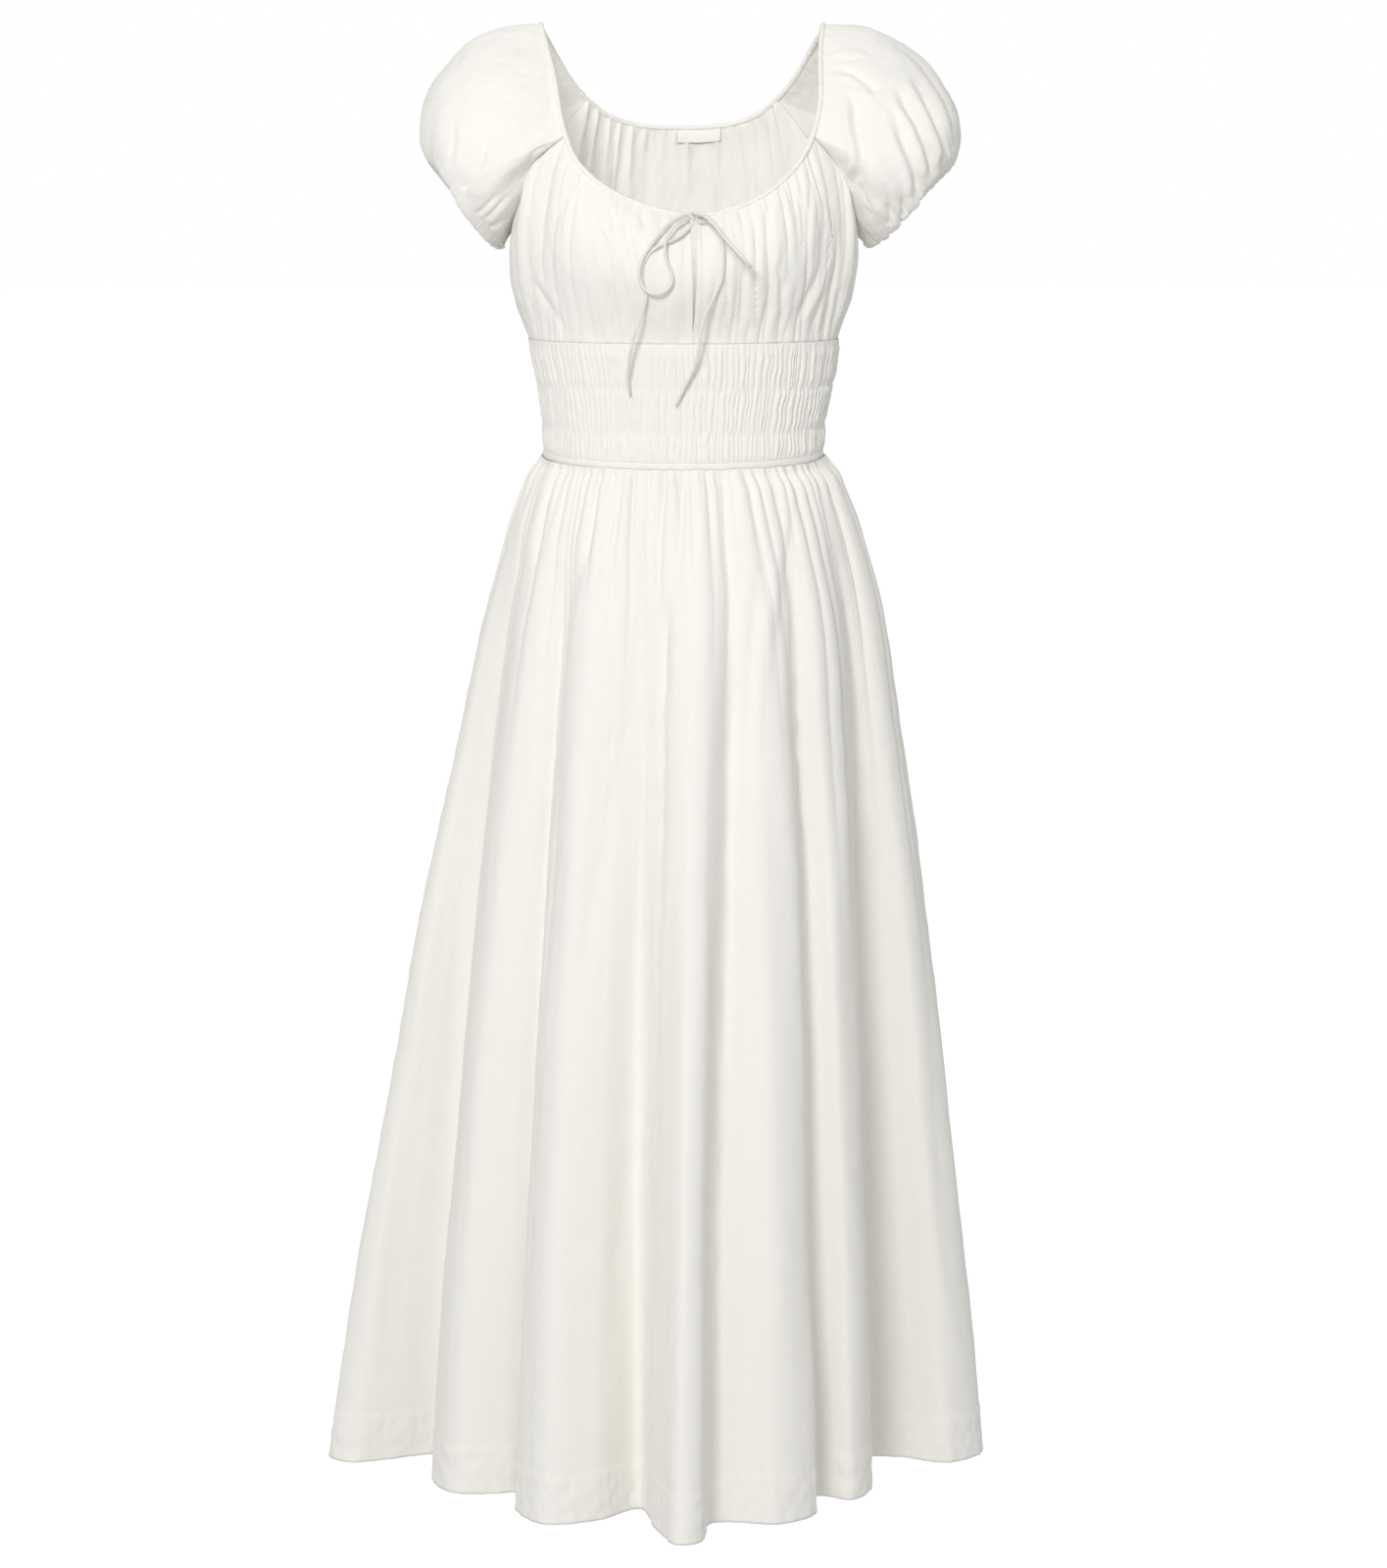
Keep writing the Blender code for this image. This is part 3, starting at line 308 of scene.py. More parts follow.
def half_ring(section: tuple, start_turn: float, shares: Array) -> Array:
    """Points at equal spacing along half of a body section.

    Args:
        section: Half width, centre x, front depth and back depth.
        start_turn: 0 for the front half, 0.5 for the back half.
        shares: Where the points lie, from one side seam to the other.

    Returns:
        Points in x and y.
    """
    half_width, centre_x, front, back = section
    angle = math.pi + 2 * math.pi * np.linspace(start_turn, start_turn + 0.5, FINE)
    c, s = np.cos(angle), np.sin(angle)
    power = 2 / ROUNDNESS
    x = centre_x + half_width * np.sign(c) * np.abs(c) ** power
    y = (front if start_turn < 0.25 else back) * np.sign(s) * np.abs(s) ** power
    return at_shares(np.stack([x, y], axis=1), shares)


def waist_ring(drop: float, start_turn: float, shares: Array, out_by: float = 0.0) -> Array:
    """Half of a body section at the waist, moved out by a distance, as points in space."""
    half_width, centre_x, front, back = read_rows(WAIST_SECTIONS, drop)[0]
    flat = half_ring((half_width + out_by, centre_x, front + out_by, back + out_by), start_turn, shares)
    return np.column_stack([flat, np.full(len(flat), -drop)])


def on_side(rows: list, side: int) -> Array:
    """Rows of x, y, z and lean as points on one side of the body."""
    rows = np.asarray(rows, float)
    return np.stack([side * rows[:, 0] + rows[:, 3], rows[:, 1], rows[:, 2]], axis=1)


def neck_parts(side: int) -> list[Array]:
    """The neckline on one side in four lines: bodice front, sleeve front, sleeve back, bodice back."""
    points = on_side(NECK_POINTS, side)
    whole = np.concatenate([points, on_side(NECK_POINTS, -side)[-2:0:-1]])
    line, at = spline(whole, closed=True)
    cuts = [at[row] for row in (0, FRONT_NECK_ROW, SHOULDER_ROW, BACK_NECK_ROW, len(points) - 1)]
    return [line[a : b + 1] for a, b in zip(cuts, cuts[1:])]


def raglan(side: int, behind: bool) -> Array:
    """A raglan seam from the neckline to the underarm."""
    neck = NECK_POINTS[BACK_NECK_ROW if behind else FRONT_NECK_ROW]
    between = BACK_RAGLAN if behind else FRONT_RAGLAN
    return spline(on_side([neck, *between, UNDERARM], side))[0]


def along_runs(runs: list[tuple[Array, int, bool]]) -> tuple[Array, Array]:
    """Evenly spaced points of each line of an edge, and each point's flag."""
    points = [at_shares(line, np.arange(count) / count) for line, count, _ in runs]
    flags = [np.full(count, flag) for _, count, flag in runs]
    return np.concatenate(points), np.concatenate(flags)


def grid_normals(grid: Array, closed: bool) -> Array:
    """Outward normals of a surface whose rows go round towards +X in front and whose row index goes down.

    Args:
        grid: Rows, columns and coordinates.
        closed: Whether each row comes back to its start.

    Returns:
        A unit vector for each point.
    """
    if closed:
        padded = np.concatenate([grid[:, -1:], grid, grid[:, :1]], axis=1)
        across = padded[:, 2:] - padded[:, :-2]
    else:
        across = np.gradient(grid, axis=1)
    return unit(np.cross(np.gradient(grid, axis=0), across))


def sagged(points: Array) -> Array:
    """Cloth points moved down where the waist seam hangs lower at the front."""
    drop = -points[..., 2]
    start, whole, end = SAG_DROPS
    share = np.clip(np.minimum((drop - start) / (whole - start), (end - drop) / (end - whole)), 0.0, 1.0)
    forward = np.clip(-points[..., 1] / SAG_DEPTH, 0.0, 1.0)
    moved = points.copy()
    moved[..., 2] -= WAIST_SAG * share**2 * (3 - 2 * share) * forward
    return moved


def hung(start: Array, end: Array, bulge, rows: Array) -> Array:
    """Surfaces that hang from one edge to another.

    Args:
        start: Points of the upper edge.
        end: Points of the lower edge.
        bulge: A function from a share of the way to the move out of the straight line.
        rows: Shares of the length where the rows lie.

    Returns:
        A grid of points.
    """
    share = np.linspace(0.0, 1.0, HANG_POINTS)
    paths = np.stack([start * (1 - t) + end * t + bulge(t) for t in share])
    far = lengths(paths)
    grid = np.empty((len(rows), len(start), 3))
    for column in range(len(start)):
        places = rows * far[-1, column]
        for k in range(3):
            grid[:, column, k] = np.interp(places, far[:, column], paths[:, column, k])
    return grid


def ripple(points: Array, wavelength: float, seed: int, stretch: tuple = (1.0, 1.0, 1.0)) -> Array:
    """Smooth uneven relief, mostly between -1 and 1.

    Args:
        points: Where it is read.
        wavelength: About how far apart its crests are.
        seed: Which relief it is.
        stretch: How much longer it is along each axis.

    Returns:
        A number for each point.
    """
    rng = np.random.default_rng(seed)
    ways = unit(rng.normal(size=(RIPPLE_WAVES, 3)))
    ways = ways * rng.uniform(0.7, 1.5, (RIPPLE_WAVES, 1)) * 2 * math.pi / wavelength
    phases = rng.uniform(0.0, 2 * math.pi, RIPPLE_WAVES)
    return np.sin((points / np.asarray(stretch)) @ ways.T + phases).sum(axis=-1) / RIPPLE_CALM


@dataclass(frozen=True)
class Gathers:
    """Small folds that run from an edge into the cloth, uneven in place, depth and length."""

    count: int
    depth: float  # metres
    reach: tuple[float, float]  # the shortest and the longest, metres
    seed: int
    narrow: float = 0.24  # a trough's width as a share of their spacing at the edge

    def relief(self, shares: Array, far: Array, spans: Array) -> Array:
        """How far in the troughs lie.

        Args:
            shares: Each column's place along the edge, from 0 to 1.
            far: Each point's distance from the edge.
            spans: The length of the edge, and of the same stretch in each row.

        Returns:
            A height for each point, 0 or less.
        """
        rng = np.random.default_rng(self.seed)
        height = np.zeros(far.shape)
        for k in range(self.count):
            middle = (k + 0.5 + rng.uniform(-0.3, 0.3)) / self.count
            width = self.narrow * rng.uniform(0.7, 1.35) / self.count * spans[0]
            length = self.reach[0] + (self.reach[1] - self.reach[0]) * rng.uniform() ** 1.8
            drift = rng.uniform(-0.35, 0.35) / self.count / length
            deep = self.depth * rng.uniform(0.30, 1.0)
            fade = np.clip(1.0 - far / length, 0.0, 1.0) ** GATHER_FADE
            off = (shares - middle - drift * far) * spans / (width * (1 + GATHER_OPENING * far / length))
            height -= deep * fade * np.exp(-(np.abs(off) ** PINCH))
        return height


@dataclass(frozen=True)
class Crease:
    """A soft trough or ridge placed on one side of the garment."""

    face: Face
    route: tuple[tuple[float, float], ...]  # across and up, millimetres
    depth: float  # millimetres; a ridge if it is negative
    width: float  # millimetres
    flank: float = 0.0  # a ridge beside it as a share of its depth; on its -across side if it is negative
    ends: tuple[float, float] = (0.3, 0.3)  # the shares of its length over which it fades in and out

    def relief(self, points: Array, normals: Array) -> Array:
        """Its height at points of the cloth.

        Args:
            points: The cloth's points, one a row.
            normals: Its outward normals.

        Returns:
            A height in metres for each point.
        """
        axis, sign = self.face.value
        flat = points[:, [self.face.across, 2]] / MM
        line = spline(np.asarray(self.route, float), per_span=10)[0]
        reach = CREASE_REACH * self.width
        low, high = line.min(axis=0) - reach, line.max(axis=0) + reach
        facing = np.clip(normals[:, axis] * sign * CREASE_FACING, 0.0, 1.0)
        near = np.flatnonzero(np.all((flat > low) & (flat < high), axis=1) & (facing > 0))
        height = np.zeros(len(points))
        if len(near) == 0:
            return height
        gap = flat[near, None] - line
        nearest = np.argmin((gap**2).sum(axis=2), axis=1)
        along = unit(np.gradient(line, axis=0))[nearest]
        offset = gap[np.arange(len(near)), nearest]
        if line[-1, 1] > line[0, 1]:
            along = -along
        off = -(offset[:, 0] * along[:, 1] - offset[:, 1] * along[:, 0])
        beyond = np.abs((offset * along).sum(axis=1))
        share = nearest / (len(line) - 1)
        fade = np.clip(share / self.ends[0], 0, 1) * np.clip((1 - share) / self.ends[1], 0, 1)
        fade = fade**CREASE_FADE * np.exp(-((beyond / self.width) ** 2))
        body = -self.depth * np.exp(-(np.abs(off / self.width) ** PINCH))
        if self.flank:
            beside = off - math.copysign(FLANK_PLACE * self.width, self.flank)
            body += abs(self.flank) * abs(self.depth) * np.exp(-((beside / (FLANK_WIDTH * self.width)) ** 2))
        height[near] = body * fade * facing[near] * MM
        return height


def creases(face: Face, rows: list[tuple]) -> list[Crease]:
    """Creases that are seen from one side, from rows of a route, a depth, a width, a flank and ends."""
    return [Crease(face, *row) for row in rows]


def creased(grid: Array, normals: Array, table: list[Crease]) -> Array:
    """The height of a table's creases on a grid of points."""
    flat, ways = grid.reshape(-1, 3), normals.reshape(-1, 3)
    return sum((crease.relief(flat, ways) for crease in table), np.zeros(len(flat))).reshape(grid.shape[:2])


def new_object(name: str, data: bpy.types.ID) -> bpy.types.Object:
    """A new object in the scene, at the origin."""
    made = bpy.data.objects.new(name, data)
    bpy.context.scene.collection.objects.link(made)
    return made


def sheet_object(
    name: str,
    grid: Array,
    flat: tuple[float, float],
    wrapped: bool = False,
    looped: bool = False,
    inside_out: bool = False,
    wall: float = CLOTH_WALL,
) -> bpy.types.Object:
    """Makes a sheet of cloth with a thickness from a grid of points.

    Args:
        name: The piece's name.
        grid: Rows, columns and coordinates of its outer side.
        flat: The width and the length of its cut, which its UV map follows.
        wrapped: Whether each row comes back to its start.
        looped: Whether the last row meets the first.
        inside_out: Whether the grid's columns run the other way round.
        wall: The cloth's thickness, which goes inwards.

    Returns:
        The new object, at the origin.
    """
    grid = sagged(grid)
    rows, columns = grid.shape[:2]
    row, column = np.meshgrid(np.arange(rows - 1 + looped), np.arange(columns - 1 + wrapped), indexing="ij")
    row, column = row.ravel(), column.ravel()
    corner_rows = np.stack([row, row + 1, row + 1, row], axis=1)
    corner_columns = np.stack([column, column, column + 1, column + 1], axis=1)
    if inside_out:
        corner_rows, corner_columns = corner_rows[:, ::-1], corner_columns[:, ::-1]
    faces = (corner_rows % rows) * columns + corner_columns % columns
    mesh = bpy.data.meshes.new(name)
    mesh.from_pydata(grid.reshape(-1, 3).tolist(), [], faces.tolist())
    across = corner_columns / (columns - 1 + wrapped) * flat[0]
    places = lengths(np.concatenate([grid, grid[:1]]) if looped else grid).mean(axis=1)
    down = -places[corner_rows] / places[-1] * flat[1]
    uv = mesh.uv_layers.new(name="cut")
    uv.data.foreach_set("uv", np.stack([across, down], axis=2).ravel())
    mesh.update()
    piece = new_object(name, mesh)
    if wall:
        solidify = piece.modifiers.new("cloth", "SOLIDIFY")
        solidify.thickness = wall
        solidify.offset = -1.0
        apply_modifiers(piece)
    piece.data.shade_smooth()
    return piece


def select_only(piece: bpy.types.Object) -> None:
    """Selects one object alone and makes it active."""
    for other in bpy.context.view_layer.objects:
        other.select_set(False)
    piece.select_set(True)
    bpy.context.view_layer.objects.active = piece


def apply_modifiers(piece: bpy.types.Object) -> None:
    """Applies every modifier of a piece."""
    select_only(piece)
    for modifier in list(piece.modifiers):
        bpy.ops.object.modifier_apply(modifier=modifier.name)


def placed(piece: bpy.types.Object, slot: str, finish: bpy.types.Material, *nodes: str) -> bpy.types.Object:
    """Dresses a piece, hangs it on the garment and hides the solids that it stands for.

    Args:
        piece: The piece.
        slot: The record's material slot that it belongs to; not used.
        finish: Its material.
        nodes: The solids that it replaces.

    Returns:
        The same piece.
    """
    piece.data.materials.clear()
    piece.data.materials.append(finish)
    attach(piece, "root")
    if nodes:
        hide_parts(*nodes)
    count = len(piece.data.polygons) if piece.type == "MESH" else len(piece.data.splines[0].points)
    LOG.info("%s: %d", piece.name, count)
    return piece


# Finishes


class NodeGroup:
    """A shader node group under construction."""

    def __init__(self, name: str, inputs: dict[str, float], outputs: list[str]) -> None:
        """Opens a group.

        Args:
            name: The group's name.
            inputs: Its number sockets with their defaults; the first socket is always the vector "Place".
            outputs: Its number sockets going out.
        """
        self.tree = bpy.data.node_groups.new(name, "ShaderNodeTree")
        face = self.tree.interface
        face.new_socket("Place", in_out="INPUT", socket_type="NodeSocketVector")
        for word, value in inputs.items():
            socket = face.new_socket(word, in_out="INPUT", socket_type="NodeSocketFloat")
            socket.default_value = value
        for word in outputs:
            face.new_socket(word, in_out="OUTPUT", socket_type="NodeSocketFloat")
        self.entry = self.tree.nodes.new("NodeGroupInput")
        self.exit = self.tree.nodes.new("NodeGroupOutput")

    def add(self, kind: str, **settings: object) -> bpy.types.Node:
        """Adds a node with settings by name."""
        node = self.tree.nodes.new(kind)
        for word, value in settings.items():
            setattr(node, word, value)
        return node

    def link(self, start: bpy.types.NodeSocket, end: bpy.types.NodeSocket) -> None:
        """Links two sockets."""
        self.tree.links.new(start, end)

    def math(self, operation: str, *values: object) -> bpy.types.NodeSocket:
        """Adds a Math node whose values are sockets or numbers, and returns its result."""
        node = self.add("ShaderNodeMath", operation=operation)
        for socket, value in zip(node.inputs, values):
            if isinstance(value, (int, float)):
                socket.default_value = value
            else:
                self.link(value, socket)
        return node.outputs[0]


def weave_group() -> bpy.types.ShaderNodeTree:
    """A plain weave of slightly uneven threads over a cloth's cut."""
    group = NodeGroup("plain_weave", {"Threads": 2600.0, "Slub": 0.5}, ["Height", "Slubs"])
    place = group.add("ShaderNodeSeparateXYZ")
    group.link(group.entry.outputs["Place"], place.inputs[0])
    waves = []
    for axis in ("X", "Y"):
        scaled = group.math("MULTIPLY", place.outputs[axis], group.entry.outputs["Threads"])
        waves.append(group.math("SINE", scaled))
    crossed = group.math("MULTIPLY", *waves)
    slubs = []
    for stretch in ((900.0, 14.0, 1.0), (14.0, 900.0, 1.0)):
        mapping = group.add("ShaderNodeMapping")
        mapping.inputs["Scale"].default_value = stretch
        group.link(group.entry.outputs["Place"], mapping.inputs["Vector"])
        noise = group.add("ShaderNodeTexNoise")
        noise.inputs["Scale"].default_value = 1.0
        noise.inputs["Detail"].default_value = 2.0
        group.link(mapping.outputs[0], noise.inputs["Vector"])
        slubs.append(noise.outputs["Fac"])
    together = group.math("MULTIPLY", group.math("ADD", *slubs), 0.5)
    thick = group.math("MULTIPLY", together, group.entry.outputs["Slub"])
    group.link(group.math("ADD", group.math("MULTIPLY", crossed, 0.5), thick), group.exit.inputs["Height"])
    group.link(together, group.exit.inputs["Slubs"])
    return group.tree


def crinkle_group() -> bpy.types.ShaderNodeTree:
    """The fine crinkle of washed cotton, longer down the cloth than across it."""
    group = NodeGroup("crinkle", {"Across": 260.0, "Down": 90.0, "Fine": 0.4}, ["Height"])
    scale = group.add("ShaderNodeCombineXYZ")
    group.link(group.entry.outputs["Across"], scale.inputs["X"])
    group.link(group.entry.outputs["Down"], scale.inputs["Y"])
    scaled = group.add("ShaderNodeVectorMath", operation="MULTIPLY")
    group.link(group.entry.outputs["Place"], scaled.inputs[0])
    group.link(scale.outputs[0], scaled.inputs[1])
    heights = []
    for size, rough in ((0.35, 0.5), (1.6, 0.6)):
        noise = group.add("ShaderNodeTexNoise")
        noise.inputs["Scale"].default_value = size
        noise.inputs["Detail"].default_value = 3.0
        noise.inputs["Roughness"].default_value = rough
        noise.inputs["Distortion"].default_value = 0.6
        group.link(scaled.outputs[0], noise.inputs["Vector"])
        heights.append(noise.outputs["Fac"])
    fine = group.math("MULTIPLY", heights[1], group.entry.outputs["Fine"])
    group.link(group.math("ADD", heights[0], fine), group.exit.inputs["Height"])
    return group.tree


@dataclass(frozen=True)
class ClothFinish:
    """Matt cotton: its colour, its crinkle and its weave."""

    name: str
    light: tuple[float, float, float]
    shade: tuple[float, float, float]
    crinkle: float = 0.00035  # metres
    across: float = 260.0  # how fine the crinkle is across the cloth
    down: float = 90.0
    weave: float = 0.00006  # metres
    threads: float = 8000.0
    roughness: float = 0.88
    sheen: float = 0.12

    def build(self, weave: bpy.types.ShaderNodeTree, crinkle: bpy.types.ShaderNodeTree) -> bpy.types.Material:
        """Makes the material.

        Args:
            weave: The shared weave group.
            crinkle: The shared crinkle group.

        Returns:
            The material.
        """
        made = bpy.data.materials.new(self.name)
        made.use_nodes = True
        nodes, links = made.node_tree.nodes, made.node_tree.links
        shader = nodes["Principled BSDF"]
        shader.inputs["Metallic"].default_value = 0.0
        shader.inputs["Sheen Weight"].default_value = self.sheen
        shader.inputs["Sheen Roughness"].default_value = 0.5
        shader.inputs["Specular IOR Level"].default_value = 0.25
        place = nodes.new("ShaderNodeTexCoord").outputs["UV"]
        threads = nodes.new("ShaderNodeGroup")
        threads.node_tree = weave
        threads.inputs["Threads"].default_value = self.threads
        folds = nodes.new("ShaderNodeGroup")
        folds.node_tree = crinkle
        folds.inputs["Across"].default_value = self.across
        folds.inputs["Down"].default_value = self.down
        for group in (threads, folds):
            links.new(place, group.inputs["Place"])
        ramp = nodes.new("ShaderNodeValToRGB")
        ramp.color_ramp.elements[0].color = (*self.shade, 1.0)
        ramp.color_ramp.elements[1].color = (*self.light, 1.0)
        ramp.color_ramp.elements[0].position = 0.25
        ramp.color_ramp.elements[1].position = 0.70
        links.new(threads.outputs["Slubs"], ramp.inputs["Fac"])
        links.new(ramp.outputs["Color"], shader.inputs["Base Color"])
        rough = nodes.new("ShaderNodeMapRange")
        rough.inputs["To Min"].default_value = self.roughness - 0.06
        rough.inputs["To Max"].default_value = self.roughness + 0.06
        links.new(folds.outputs["Height"], rough.inputs["Value"])
        links.new(rough.outputs["Result"], shader.inputs["Roughness"])
        bumps = []
        for group, distance in ((folds, self.crinkle), (threads, self.weave)):
            bump = nodes.new("ShaderNodeBump")
            bump.inputs["Distance"].default_value = distance
            links.new(group.outputs["Height"], bump.inputs["Height"])
            if bumps:
                links.new(bumps[-1].outputs["Normal"], bump.inputs["Normal"])
            bumps.append(bump)
        links.new(bumps[-1].outputs["Normal"], shader.inputs["Normal"])
        return made


FINISHES = {
    "cloth": ClothFinish("cotton_cloth", (0.902, 0.882, 0.836), (0.877, 0.855, 0.806)),
    "binding": ClothFinish(
        "binding_cloth", (0.905, 0.885, 0.835), (0.880, 0.857, 0.803), crinkle=0.0003, across=900.0, down=500.0
    ),
    "cord": ClothFinish(
        "cord_cloth", (0.900, 0.872, 0.800), (0.870, 0.838, 0.760), crinkle=0.0002, across=700.0, down=200.0
    ),
    "label": ClothFinish(
        "label_cloth",
        (0.890, 0.875, 0.840),
        (0.870, 0.852, 0.812),
        crinkle=0.0001,
        threads=5200.0,
        roughness=0.7,
    ),
    "thread": ClothFinish(
        "thread", (0.905, 0.885, 0.835), (0.880, 0.855, 0.800), crinkle=0.0001, roughness=0.7, sheen=0.2
    ),
}


@dataclass
class Finishes:
    """Every finish of the dress, made once."""

    cloth: bpy.types.Material = field(init=False)
    binding: bpy.types.Material = field(init=False)
    cord: bpy.types.Material = field(init=False)
    label: bpy.types.Material = field(init=False)
    thread: bpy.types.Material = field(init=False)

    def __post_init__(self) -> None:
        """Builds the shared groups and the materials."""
        weave, crinkle = weave_group(), crinkle_group()
        for use, finish in FINISHES.items():
            setattr(self, use, finish.build(weave, crinkle))


# Camera, light and floor


@dataclass
class Studio:
    """The camera at the photograph's view, soft light from the upper left, and a plain pale floor."""

    camera_place: tuple[float, float, float] = (0.0097, -4.2, -0.053)
    camera_pitch: float = 8.0  # degrees below the horizon
    lens: float = 113.6
    floor_drop: float = 1.42
    floor_size: float = 60.0
    sky: float = 0.58  # how strongly the sky lights the dress
    front_place: tuple[float, float, float] = (-0.8, -3.7, 1.3)
    front_target: tuple[float, float, float] = (0.0, 0.0, -0.55)
    front_size: float = 1.1
    front_power: float = 86.0  # watts
    fill_radius: float = 0.03
    fill_colour: tuple[float, float, float] = (0.90, 0.95, 1.0)
    fills: tuple = (
        # small lamps inside the dress, as for a photograph of an empty one: name, place, watts
        ("fill_body", (0.0, -0.030, -0.170), 0.052),
        ("fill_right_sleeve", (-0.150, -0.005, -0.085), 0.055),
        ("fill_left_sleeve", (0.152, -0.005, -0.085), 0.020),
    )

    def camera(self) -> None:
        """Makes the camera and uses it."""
        data = bpy.data.cameras.new("camera")
        data.lens = self.lens
        data.sensor_width = 36.0
        data.sensor_fit = "AUTO"
        data.clip_end = 100.0
        made = new_object("camera", data)
        made.location = self.camera_place
        made.rotation_euler = (math.radians(90 - self.camera_pitch), 0.0, 0.0)
        bpy.context.scene.camera = made

    def floor(self) -> None:
        """Makes the floor."""
        bpy.ops.mesh.primitive_plane_add(size=self.floor_size, location=(0.0, 0.0, -self.floor_drop))
        plane = bpy.context.active_object
        plane.name = "floor"
        bpy.ops.object.transform_apply(location=True, rotation=True, scale=True)
        pale = bpy.data.materials.new("pale_floor")
        pale.use_nodes = True
        shader = pale.node_tree.nodes["Principled BSDF"]
        shader.inputs["Base Color"].default_value = (0.96, 0.96, 0.96, 1.0)
        shader.inputs["Roughness"].default_value = 0.95
        shader.inputs["Specular IOR Level"].default_value = 0.0
        shader.inputs["Emission Color"].default_value = (1.0, 1.0, 1.0, 1.0)
        shader.inputs["Emission Strength"].default_value = 0.6
        plane.data.materials.append(pale)
        plane.visible_diffuse = False
        plane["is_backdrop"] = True

    def light(self) -> None:
        """Makes the sky and the lamps."""
        world = bpy.data.worlds.new("studio")
        world.use_nodes = True
        background = world.node_tree.nodes["Background"]
        background.inputs["Color"].default_value = (1.0, 1.0, 1.0, 1.0)
        seen_only(world.node_tree, background.inputs["Strength"], 1.0, self.sky)
        bpy.context.scene.world = world
        data = bpy.data.lights.new("front", "AREA")
        data.shape = "DISK"
        data.size = self.front_size
        data.energy = self.front_power
        lamp = new_object("front", data)
        lamp.location = self.front_place
        lamp.rotation_euler = aim(np.array(self.front_target) - lamp.location)
        for name, place, power in self.fills:
            data = bpy.data.lights.new(name, "POINT")
            data.shadow_soft_size = self.fill_radius
            data.color = self.fill_colour
            data.energy = power
            new_object(name, data).location = place
        bpy.context.scene.view_settings.view_transform = "Standard"


def seen_only(tree: bpy.types.NodeTree, socket: bpy.types.NodeSocket, seen: float, lit: float) -> None:
    """Gives a strength one value where the camera sees it and another where it lights the dress."""
    path = tree.nodes.new("ShaderNodeLightPath")
    ranged = tree.nodes.new("ShaderNodeMapRange")
    ranged.inputs["To Min"].default_value = lit
    ranged.inputs["To Max"].default_value = seen
    tree.links.new(path.outputs["Is Camera Ray"], ranged.inputs["Value"])
    tree.links.new(ranged.outputs["Result"], socket)


def aim(way: Array) -> tuple[float, float, float]:
    """The rotation that points an object's -Z along a direction."""
    flat = math.hypot(way[0], way[1])
    return math.atan2(flat, -way[2]), 0.0, math.atan2(-way[0], way[1])


# The bow


@dataclass(frozen=True)
class Strand:
    """A loop or a tail: the ways that its ends leave the knot, and where it lies between them."""

    name: str
    first: tuple[float, float, float]
    second: tuple[float, float, float] | None  # none on a tail, whose far end is free
    points: list[tuple[float, float, float]]


STRANDS = [
    Strand("tie_loop_right", (-0.90, -0.30, 0.30), (-0.62, -0.75, -0.15), [
        # x, y, z
        (-0.0076, -0.1145, -0.1607),
        (-0.0172, -0.1222, -0.1685),
        (-0.0253, -0.1244, -0.1800),
        (-0.0323, -0.1258, -0.1915),
        (-0.0349, -0.1264, -0.2025),
        (-0.0330, -0.1250, -0.2120),
        (-0.0284, -0.1240, -0.2177),
        (-0.0205, -0.1245, -0.2197),
        (-0.0126, -0.1252, -0.2167),
        (-0.0080, -0.1260, -0.2105),
        (-0.0084, -0.1267, -0.2035),
        (-0.0122, -0.1270, -0.1930),
        (-0.0138, -0.1268, -0.1820),
        (-0.0122, -0.1260, -0.1735),
        (-0.0055, -0.1210, -0.1640),
    ]),
    Strand("tie_loop_left", (0.80, -0.45, 0.40), (-0.10, -0.85, 0.52), [
        # x, y, z
        (0.0214, -0.1120, -0.1575),
        (0.0300, -0.1190, -0.1662),
        (0.0365, -0.1240, -0.1752),
        (0.0455, -0.1280, -0.1852),
        (0.0520, -0.1315, -0.1925),
        (0.0560, -0.1375, -0.1965),
        (0.0555, -0.1450, -0.1960),
        (0.0510, -0.1485, -0.1905),
        (0.0440, -0.1480, -0.1830),
        (0.0355, -0.1440, -0.1740),
        (0.0275, -0.1360, -0.1640),
        (0.0180, -0.1240, -0.1560),
    ]),
    Strand("tie_tail_right", (-0.05, -0.60, -0.80), None, [
        # x, y, z
        (0.0030, -0.1180, -0.1690),
        (-0.0060, -0.1213, -0.1755),
        (-0.0165, -0.1228, -0.1795),
        (-0.0248, -0.1222, -0.1850),
        (-0.0308, -0.1229, -0.1935),
        (-0.0333, -0.1233, -0.2035),
        (-0.0318, -0.1219, -0.2130),
        (-0.0292, -0.1197, -0.2215),
        (-0.0318, -0.1172, -0.2330),
        (-0.0358, -0.1150, -0.2448),
        (-0.0400, -0.1115, -0.2580),
        (-0.0425, -0.1075, -0.2695),
        (-0.0443, -0.1020, -0.2825),
        (-0.0452, -0.0990, -0.2910),
        (-0.0438, -0.0960, -0.3030),
    ]),
    Strand("tie_tail_left", (0.80, -0.25, -0.55), None, [
        # x, y, z
        (0.0230, -0.1112, -0.1622),
        (0.0292, -0.1155, -0.1680),
        (0.0332, -0.1200, -0.1785),
        (0.0341, -0.1240, -0.1928),
        (0.0325, -0.1235, -0.2085),
        (0.0262, -0.1208, -0.2232),
        (0.0198, -0.1182, -0.2362),
        (0.0166, -0.1160, -0.2492),
        (0.0141, -0.1110, -0.2655),
        (0.0101, -0.1050, -0.2815),
        (0.0036, -0.1005, -0.2950),
        (-0.0053, -0.0975, -0.3125),
    ]),
]


